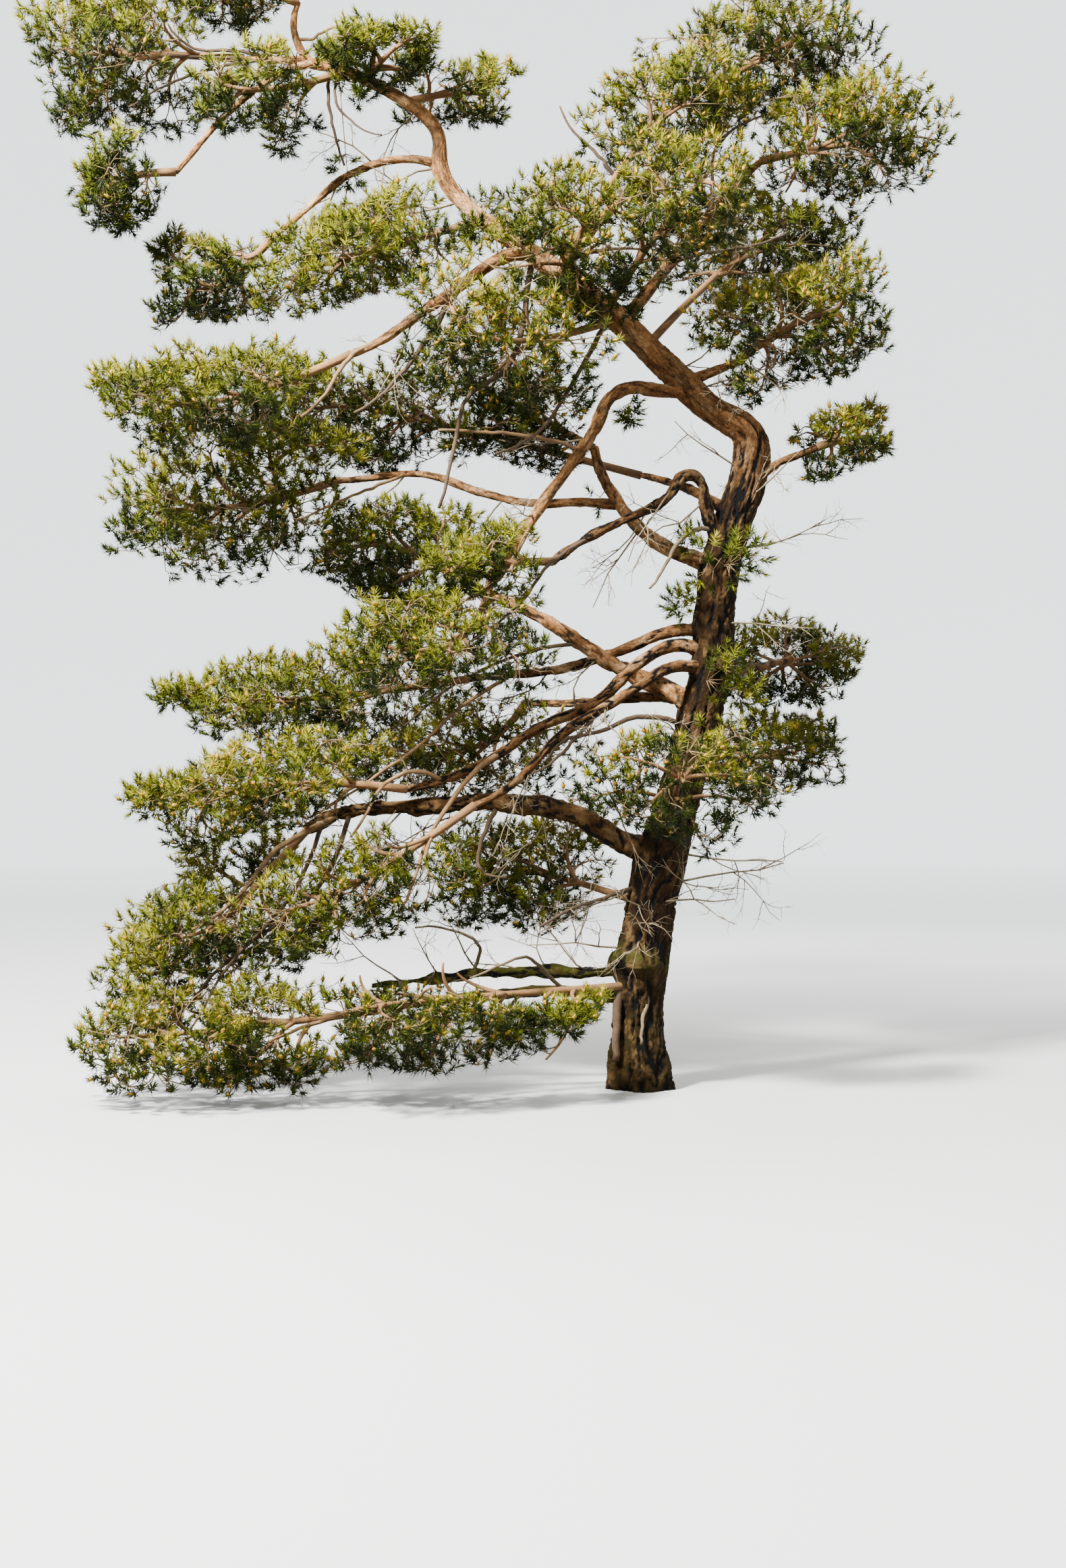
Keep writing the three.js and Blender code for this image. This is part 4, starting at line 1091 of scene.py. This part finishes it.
def side_branches(rows):
    """Centre lines and radii of the branches in these rows, each a little crooked."""
    curves, radii = [], []
    for count, (limb, run, length, root, tip, course) in enumerate(rows):
        line = bough_line(lines[limb].at(run * MM), length, course)
        share = np.linspace(0, 1, STUB_POINTS)
        wave = chance(count + 0.5, np.arange(STUB_POINTS * 3)).reshape(-1, 3) - 0.5
        curves.append(line.at(share * line.length) + wave * STUB_WAVE * (share > 0)[:, None])
        thickness = root + (tip - root) * share
        radii.append(thickness * (0.94 + 0.12 * chance(count + 3.5, np.arange(STUB_POINTS))) / 2 * MM)
    return np.array(curves), np.array(radii)


# %% [markdown]
# Real needles die where a thick branch shades or rubs them, so from the front the boughs and the
# bare side branches lie open, with foliage above, below and behind them. Here most shoots that
# would hide such a branch from the camera are left out.

# %% Boughs laid open
# bough and how much of its run lies open
OPEN_BOUGHS = {
    "third_bough": (0, 1500), "second_bough": (0, 1000), "orange_bough": (0, 1500),
    "long_bough": (0, 1500), "low_bough": (0, 2600), "swept_bough": (0, 1900),
    "upper_swept_bough": (0, 1500), "front_swept_bough": (0, 1700), "crossing_bough": (0, 1500),
    "crown_left_bough": (0, 400), "hook_bough": (0, 1900), "rising_bough": (0, 1300),
}
OPEN_ROOM = 0.045
OPEN_SHARE = 0.85
BRANCH_ROOM = 0.035
BRANCH_SHARE = 0.75
OPEN_SPACING = 30


def seen_from_camera(points):
    """Where points lie in the camera's view, as metres at the tree's own distance."""
    away = points - np.array(CAMERA_PLACE)
    return away[:, [0, 2]] / away[:, 1:2] * -CAMERA_PLACE[1]


def hides(ends, spots, radii, room):
    """Whether each shoot's end covers one of these spots in the camera's view."""
    gaps = seen_from_camera(ends)[:, None] - seen_from_camera(spots)[None]
    gaps = np.linalg.norm(gaps, axis=2) - radii
    return (gaps.min(1) < room) & (ends[:, 1] < spots[gaps.argmin(1), 1])


feet, ends, masses, seeds = (np.array(column) for column in zip(*shoot_rows))
loss = np.zeros(len(ends))
for rows in (BARE_PAINTED_SUNLIT, BARE_PAINTED_SHADE):
    for points, radii in zip(*side_branches(rows)):
        branch = Line(points)
        runs = np.arange(0, branch.length, OPEN_SPACING * MM)
        hiding = hides(ends, branch.at(runs), np.interp(runs, branch.runs, radii), BRANCH_ROOM)
        loss[hiding] = BRANCH_SHARE
for limb, (start, stop) in OPEN_BOUGHS.items():
    runs = np.arange(start, stop, OPEN_SPACING) * MM
    hiding = hides(ends, lines[limb].at(runs), bough_radius(limb, runs), OPEN_ROOM)
    loss[hiding] = OPEN_SHARE
kept = chance(seeds, 77.0) >= loss
shoot_feet, shoot_ends = feet[kept], ends[kept]
shoot_masses, shoot_seeds = masses[kept], seeds[kept].astype(float)
print("shoots left:", len(shoot_ends))

# %% [markdown]
# ## Twigs
# Thousands of twigs are made as joined meshes from arrays, because copies of one object would be
# lost in the export and operators would take hours. Every twig is a closed tapering tube of a few
# sides, thickest at its foot.


# %% Tubes from arrays
def mesh_from(name, points, faces, smooth=True):
    """One mesh from arrays of points and of triangles."""
    mesh = bpy.data.meshes.new(name)
    mesh.vertices.add(len(points))
    mesh.vertices.foreach_set("co", np.asarray(points, np.float32).ravel())
    mesh.loops.add(faces.size)
    mesh.loops.foreach_set("vertex_index", faces.astype(np.int32).ravel())
    mesh.polygons.add(len(faces))
    mesh.polygons.foreach_set("loop_start", np.arange(0, faces.size, 3, dtype=np.int32))
    mesh.update()
    mesh.validate()
    mesh.polygons.foreach_set("use_smooth", np.full(len(faces), smooth))
    thing = bpy.data.objects.new(name, mesh)
    bpy.context.collection.objects.link(thing)
    return thing


def tubes(curves, radii, sides):
    """Points and triangles of closed tapering tubes along curves of equally many points."""
    count, steps, _ = curves.shape
    headings = unit(np.gradient(curves, axis=1))
    main = unit(curves[:, -1] - curves[:, 0])
    axis = np.eye(3)[np.abs(main).argmin(1)]
    across = unit(np.cross(headings, axis[:, None]))
    lift = np.cross(headings, across)
    angles = np.arange(sides) / sides * 2 * math.pi
    ring = np.cos(angles)[:, None] * across[:, :, None] + np.sin(angles)[:, None] * lift[:, :, None]
    rings = curves[:, :, None] + ring * radii[:, :, None, None]
    points = np.concatenate([rings.reshape(count, -1, 3), curves[:, :1], curves[:, -1:]], 1)
    faces = []
    for step in range(steps - 1):
        for side in range(sides):
            a, b = step * sides + side, step * sides + (side + 1) % sides
            faces += [(a, b, b + sides), (a, b + sides, a + sides)]
    low, high, last = steps * sides, steps * sides + 1, (steps - 1) * sides
    for side in range(sides):
        turn = (side + 1) % sides
        faces += [(low, turn, side), (high, last + side, last + turn)]
    faces = np.array(faces)[None] + np.arange(count)[:, None, None] * points.shape[1]
    return points.reshape(-1, 3), faces.reshape(-1, 3)


def joined(name, parts, smooth=True):
    points, faces, start = [], [], 0
    for some_points, some_faces in parts:
        points.append(some_points)
        faces.append(some_faces + start)
        start += len(some_points)
    return mesh_from(name, np.concatenate(points), np.concatenate(faces), smooth)


def tapered(curves, root, tip):
    curves = np.array(curves)
    return curves, np.broadcast_to(np.linspace(root, tip, curves.shape[1]), curves.shape[:2])


def pyramids(feet, ends, radius):
    """Points and triangles of thin three-sided pyramids, the leanest closed twigs there are."""
    heading = unit(ends - feet)
    across = unit(np.cross(heading, np.eye(3)[np.abs(heading).argmin(1)]))
    lift = np.cross(heading, across)
    turns = np.arange(3) * 2 * math.pi / 3
    base = [feet + (math.cos(turn) * across + math.sin(turn) * lift) * radius for turn in turns]
    points = np.stack([*base, ends], 1)
    faces = np.array([(0, 2, 1), (0, 1, 3), (1, 2, 3), (2, 0, 3)])
    faces = faces[None] + np.arange(len(feet))[:, None, None] * 4
    return points.reshape(-1, 3), faces.reshape(-1, 3)


shoot_heading = unit(unit(shoot_ends - shoot_feet) + UPTURN * Z_AXIS)
stout = joined("stout_twigs", [
    tubes(*tapered(twigs["stem"], 0.034, 0.014), 7),
    tubes(*tapered(twigs["twig"], 0.02, 0.008), 5)])
slender = joined("slender_twigs", [
    tubes(*tapered(twigs["side"], 0.006, 0.003), 3),
    pyramids(shoot_feet, shoot_ends, 0.0042)])
print("twig faces:", len(stout.data.polygons), "+", len(slender.data.polygons))

# %% [markdown]
# ## Needles
# A tuft is the end of a shoot, ringed by pairs of stiff needles that stand out wide at its foot and
# lean forward at its tip. The two needles of a pair grow from one point. Each pair is two slim
# spikes that share their root edge and open like a V. They have a real needle's length. There are
# far fewer of them than on a real tree, so each is a few times as wide.

# %% Needles from arrays
PAIRS = 17
NEEDLE_LENGTH = 0.064
NEEDLE_WIDTH = 0.0088
TUFT_LENGTH = 0.07
PAIR_OPENING = 0.24
WIDEST_LEAN, CLOSEST_LEAN = 84, 16


def needles(ends, headings, seeds):
    """Points and triangles of all needle pairs of these tufts, from foot to tip of each."""
    order = np.arange(PAIRS)
    share = (order + 0.5) / PAIRS
    seeds = seeds[:, None]
    turn = GOLDEN_TURN * order[None] + seeds * 1.7
    lean = WIDEST_LEAN + (CLOSEST_LEAN - WIDEST_LEAN) * share + 18 * (chance(seeds, order) - 0.5)
    lean = np.radians(lean)[..., None]
    axis = np.eye(3)[np.abs(headings).argmin(1)]
    across = unit(np.cross(headings, axis))[:, None]
    lift = np.cross(headings[:, None], across)
    outward = np.cos(turn)[..., None] * across + np.sin(turn)[..., None] * lift
    aim = np.cos(lean) * headings[:, None] + np.sin(lean) * outward
    side = unit(np.cross(aim, outward + 0.6 * across))
    opening = unit(side + np.cross(aim, side)) * PAIR_OPENING
    roots = ends[:, None] - headings[:, None] * (TUFT_LENGTH * (1 - share))[None, :, None]
    length = NEEDLE_LENGTH * (0.84 + 0.32 * chance(seeds + 0.5, order[None]))[..., None]
    points = np.stack([roots - side * NEEDLE_WIDTH / 2, roots + side * NEEDLE_WIDTH / 2,
                       roots + (aim + opening) * length, roots + (aim - opening) * length], 2)
    start = np.arange(points.shape[0] * PAIRS)[:, None, None] * 4
    faces = start + np.array([[0, 1, 2], [1, 0, 3]])[None]
    return points.reshape(-1, 3), faces.reshape(-1, 3)


# %% [markdown]
# The green of a tuft is partly painted light and shade: tufts on top of a mass and at its rim get
# the pale yellow greens of painted sunlight, and those inside and below the deep greens of painted
# shade. So the tufts are sorted by how high and far out they sit, with some chance, and dealt out to
# pieces of one green each. In a tuft, last year's needles round its foot are the darkest, and the
# young ones at its tip the palest.

# %% Tufts dealt out by green
# five ranges of green, from the painted sunlight of the sunny tufts to the painted shade of the inner
# ones
GREENS = {
    "needles_sunny": (0.17, [(100, 101, 24), (138, 137, 36), (160, 154, 54)]),
    "needles_olive": (0.37, [(74, 78, 20), (108, 112, 26), (124, 124, 36)]),
    "needles_green": (0.59, [(54, 61, 15), (82, 90, 20), (98, 103, 28)]),
    "needles_deep": (0.80, [(36, 44, 12), (58, 67, 17), (72, 81, 23)]),
    "needles_inner": (1.01, [(22, 28, 9), (38, 46, 14), (50, 59, 18)]),
}

SPRIG_BRIGHTNESS = 0.2
# masses that the photograph shows paler or darker than the rule gives
PALER = {"front_mass": -0.3, "low_left_mass": -0.1, "second_mass": -0.15, "long_mass": 0.08,
         "crown_hanging_mass": -0.3, "orange_mass": -0.12, "rising_mass": -0.12,
         "crown_right_mass": 0.1, "below_second_mass": 0.15, "leader_mass": 0.1}

# painted light and shade: tufts higher and further out in their mass rank paler, lower and inner ones
# darker; clumps of noise and chance add tone at random
brightness = np.full(len(shoot_ends), SPRIG_BRIGHTNESS)
for space in spaces:
    own = shoot_masses == space["seed"]
    local = (shoot_ends[own] - space["middle"]) @ space["axes"].T / space["half"]
    brightness[own] = 0.5 * local[:, 2] + 0.25 * np.linalg.norm(local, axis=1)
    brightness[own] += PALER.get(space["name"], 0)
clumps = np.array([noise.noise(Vector(end * 3.2)) for end in shoot_ends])
brightness += 0.7 * clumps + 0.6 * (chance(shoot_seeds, 5) - 0.5)
rank = np.argsort(np.argsort(-brightness)) / len(brightness)

foliage = []
lowest = 0
for name, (highest, colours) in GREENS.items():
    own = (rank >= lowest) & (rank < highest)
    lowest = highest
    points, faces = needles(shoot_ends[own], shoot_heading[own], shoot_seeds[own])
    piece = mesh_from(name, points, faces, smooth=False)
    place_in_tuft = np.tile(np.repeat((np.arange(PAIRS) + 0.5) / PAIRS, 2), own.sum())
    paler = 0.7 * (np.repeat(chance(shoot_seeds[own], 9), PAIRS * 2) - 0.5)
    choice = ((place_in_tuft + paler) * len(colours)).clip(0, len(colours) - 1).astype(np.int32)
    for number, colour in enumerate(colours):
        finish = Finish(f"{name}_{number + 1}")
        piece.data.materials.append(finish.surface(
            Base_Color=(*paint(*colour), 1), Roughness=0.65, Specular_IOR_Level=0.12))
    piece.data.polygons.foreach_set("material_index", choice)
    foliage.append(piece)
    print(name, own.sum(), "tufts,", len(faces), "triangles")

# %% [markdown]
# ## Pollen cones
# In late spring the shoots carry clusters of small yellow-orange pollen cones at the foot of the
# new growth, thickest on the sunny middle of the crown. A cluster is a knobbly spindle of three
# rings round the shoot, and all of them are made at once from arrays.

# %% Pollen cones from arrays
CONE_LENGTH = 0.042
CONE_RADIUS = 0.014
MANY_CONES = 0.62
FEW_CONES = 0.12
CONE_MASSES = {"leader_mass", "leader_front_mass", "leader_top_mass", "upper_right_mass",
               "right_mass", "rising_mass", "front_mass", "under_leader_mass", "top_right_mass",
               "right_mid_mass", "low_far_mass", "low_front_mass", "swept_mass"}

share_of_mass = np.array([0] + [MANY_CONES if space["name"] in CONE_MASSES else FEW_CONES
                                for space in spaces])
in_bloom = share_of_mass[shoot_masses] * (0.55 + 1.6 * clumps).clip(0, 1.4)
bearing = (chance(shoot_seeds, 21) < in_bloom) & (rank < 0.7)
cone_ends = shoot_ends[bearing] + shoot_heading[bearing] * 0.012
cone_feet = cone_ends - shoot_heading[bearing] * CONE_LENGTH
cone_shares = np.array([0.0, 0.55, 1.0])
cone_curves = cone_feet[:, None] + (cone_ends - cone_feet)[:, None] * cone_shares[None, :, None]
knobs = 0.8 + 0.4 * chance(shoot_seeds[bearing][:, None], np.arange(3)[None])
cone_radii = CONE_RADIUS * np.array([0.6, 1.0, 0.45])[None] * knobs
cones = joined("pollen_cones", [tubes(cone_curves, cone_radii, 4)])
cone_finish = Finish("pollen_cones")
cone_place = cone_finish.node("TexCoord", {}, {}, output=3)
cone_tint = cone_finish.noise(cone_place, 60, 2)
cone_colour = cone_finish.mix(cone_tint, paint(196, 130, 24), paint(226, 178, 58))
cones.data.materials.append(cone_finish.surface(Base_Color=cone_colour, Roughness=0.7))
print("pollen cones:", bearing.sum())

# %% [markdown]
# ## Dead twigs
# Under its crown an old pine keeps dead twigs for years: bare, crooked and bleached. They stand
# out round the foot of the trunk, on the hooked bough and below the upper boughs. Each one starts
# on its limb and forks by a seeded rule, and every fork is shorter and turns more.

# %% Dead twigs
# limb, run along it, azimuth, pitch, length in millimetres
DEAD = [
    ("trunk", 1020, 205, 5, 900), ("trunk", 1120, 250, 12, 800), ("trunk", 1350, 300, 20, 900),
    ("trunk", 1500, 330, 8, 1000), ("trunk", 1620, 215, 30, 800), ("trunk", 1750, 350, -10, 900),
    ("trunk", 1500, 190, -12, 900), ("trunk", 2250, 20, 15, 700), ("trunk", 2600, 230, 25, 700),
    ("trunk", 3500, 340, 20, 800), ("trunk", 4100, 10, -5, 900), ("trunk", 4400, 350, 25, 700),
    ("trunk", 4650, 200, 35, 700), ("trunk", 5500, 300, 10, 700), ("trunk", 5700, 20, 30, 700),
    ("trunk", 8000, 185, -10, 900), ("trunk", 7700, 190, -20, 900), ("trunk", 7300, 200, 50, 600),
    ("trunk", 8500, 170, -50, 500), ("hook_bough", 500, 215, -45, 700),
    ("hook_bough", 900, 240, -40, 800), ("hook_bough", 1200, 195, -50, 600),
    ("low_bough", 900, 190, -50, 700), ("low_bough", 1400, 170, -40, 900),
    ("low_bough", 2000, 200, -45, 800), ("low_bough", 1700, 180, 40, 500),
    ("shelf_stub", 900, 190, 40, 450), ("shelf_stub", 1500, 170, 45, 450),
    ("shelf_stub", 400, 200, 30, 600), ("shelf_stub", 700, 160, 55, 500),
    ("shelf_stub", 1200, 210, 25, 650), ("shelf_stub", 1800, 190, 50, 600),
    ("trunk", 1280, 240, 15, 600), ("trunk", 1200, 260, 0, 500), ("trunk", 5080, 250, 10, 500),
    ("rising_bough", 700, 190, -50, 700), ("long_bough", 900, 190, -45, 600),
    ("long_bough", 1700, 180, -50, 600), ("orange_bough", 1000, 170, -10, 700),
    ("orange_bough", 1700, 230, -20, 600), ("third_bough", 700, 170, -60, 600),
    ("third_bough", 1200, 220, -65, 700), ("second_bough", 500, 190, 40, 500),
    ("second_bough", 800, 170, -60, 600), ("swept_bough", 900, 210, -60, 600),
    ("swept_bough", 1500, 150, -50, 700), ("front_swept_bough", 1000, 250, -50, 700),
    ("front_swept_bough", 1700, 200, -70, 700), ("crossing_bough", 900, 200, -40, 600),
    ("upper_swept_bough", 1300, 170, -55, 600), ("right_bough", 500, 300, -20, 600),
    ("upper_right_bough", 900, 330, 10, 700), ("top_right_bough", 1200, 0, 0, 700),
]
DEAD_GENERATIONS = 4
DEAD_STEPS = 5
dead_curves, dead_radii = [], []


def dead_branch(foot, heading, length, radius, generation, seed):
    """A crooked dead twig and its forks, each fork shorter and more turned."""
    wander = chance(seed, np.arange(DEAD_STEPS * 3)).reshape(DEAD_STEPS, 3) - 0.5
    steps = unit(heading + np.cumsum(wander * 0.55, 0) - Z_AXIS * 0.05) * length / DEAD_STEPS
    points = np.concatenate([[foot], foot + np.cumsum(steps, 0)])
    if points[:, 2].min() < GROUND_ROOM / 2:
        return
    dead_curves.append(points)
    dead_radii.append(np.linspace(radius, radius * 0.4, DEAD_STEPS + 1))
    if generation < DEAD_GENERATIONS:
        for fork in range(3):
            place = 1 + fork + int(chance(seed, 40 + fork) * 1.99)
            place = min(place, DEAD_STEPS - 1)
            turned = chance(seed, 50 + np.arange(3) + fork * 3) - 0.5
            new = unit(unit(steps[place - 1]) + turned * 2.2)
            dead_branch(points[place], new, length * (0.42 + 0.16 * chance(seed, fork)),
                        radius * 0.55, generation + 1, seed * 3.1 + fork + 1)


for number, (limb, run, azimuth, pitch, length) in enumerate(DEAD):
    dead_branch(lines[limb].at(run * MM), direction(azimuth, pitch), length * MM,
                0.006 + 0.006 * length / 1000, 1, number + 1.5)
dead = joined("dead_twigs", [tubes(np.array(dead_curves), np.array(dead_radii), 3)])
print("dead twigs:", len(dead_curves), "with", len(dead.data.polygons), "faces")


# %% [markdown]
# The bare side branches and the dead stubs were drawn by rows earlier, before the shoots in
# front of them were left out. Here they become meshes.

# %% Bare branches and dead stubs from arrays
stubs = joined("dead_stubs", [tubes(*side_branches(DEAD_PALE), 8)])
painted_sunlit_branches = joined("painted_sunlit_branches", [tubes(*side_branches(BARE_PAINTED_SUNLIT), 7)])
painted_shade_branches = joined("painted_shade_branches", [tubes(*side_branches(BARE_PAINTED_SHADE), 7)])
print("bare branches and stubs:", len(BARE_PAINTED_SUNLIT) + len(BARE_PAINTED_SHADE) + len(DEAD_PALE))


# %% [markdown]
# ## Finish of the twigs
# Living twigs are warm tan with darker patches. The bare branches are one bark in two copies, a
# sunlit tan of painted light and a dark brown of painted shade. Dead ones are bleached grey with some
# bark left. All read their colour from noise in object space.

# %% Twig finishes
def twig_finish(name, dark, light, spots, scale):
    finish = Finish(name)
    place = finish.node("TexCoord", {}, {}, output=3)
    broad = finish.noise(place, 2.5, 2)
    fine = finish.noise(place, scale, 4)
    colour = finish.mix(fine, dark, light)
    colour = finish.mix((broad * 3 - 1.2).clipped() * 0.6, colour, spots)
    bump = finish.node("Bump", {}, {"Height": fine, "Strength": 0.4, "Distance": 0.002})
    return finish.surface(Base_Color=colour, Roughness=0.85, Normal=bump)


stout.data.materials.append(
    twig_finish("stout_twigs", paint(104, 68, 36), paint(186, 140, 88), paint(74, 52, 30), 60))
slender.data.materials.append(
    twig_finish("slender_twigs", paint(96, 74, 42), paint(160, 132, 86), paint(86, 76, 40), 80))
# painted light and shade: one bark, painted lit tan on branches in the sun and dark brown on those in
# the shade
painted_sunlit_branches.data.materials.append(
    twig_finish("painted_sunlit_branches", paint(110, 78, 46), paint(186, 146, 96), paint(84, 62, 38), 34))
painted_shade_branches.data.materials.append(
    twig_finish("painted_shade_branches", paint(44, 32, 20), paint(104, 80, 52), paint(32, 24, 14), 34))
stubs.data.materials.append(
    twig_finish("dead_stubs", paint(78, 66, 46), paint(146, 126, 92), paint(58, 47, 32), 34))
dead.data.materials.append(
    twig_finish("dead_twigs", paint(116, 100, 76), paint(180, 162, 126), paint(92, 76, 54), 70))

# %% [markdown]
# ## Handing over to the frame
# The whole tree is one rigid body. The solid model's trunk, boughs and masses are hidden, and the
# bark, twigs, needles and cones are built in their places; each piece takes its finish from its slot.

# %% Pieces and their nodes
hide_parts("trunk")
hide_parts(*LIMBS)
for piece in (stout, slender, *foliage):
    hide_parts(*MASSES)
wood = (bough_bark, stout, slender, dead, stubs, painted_sunlit_branches, painted_shade_branches)
for piece in (trunk_bark, *wood, cones, *foliage):
    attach(piece, "root")
    usual = "bark_upper" if piece in wood else "needles"
    print(piece.name, len(piece.data.polygons))
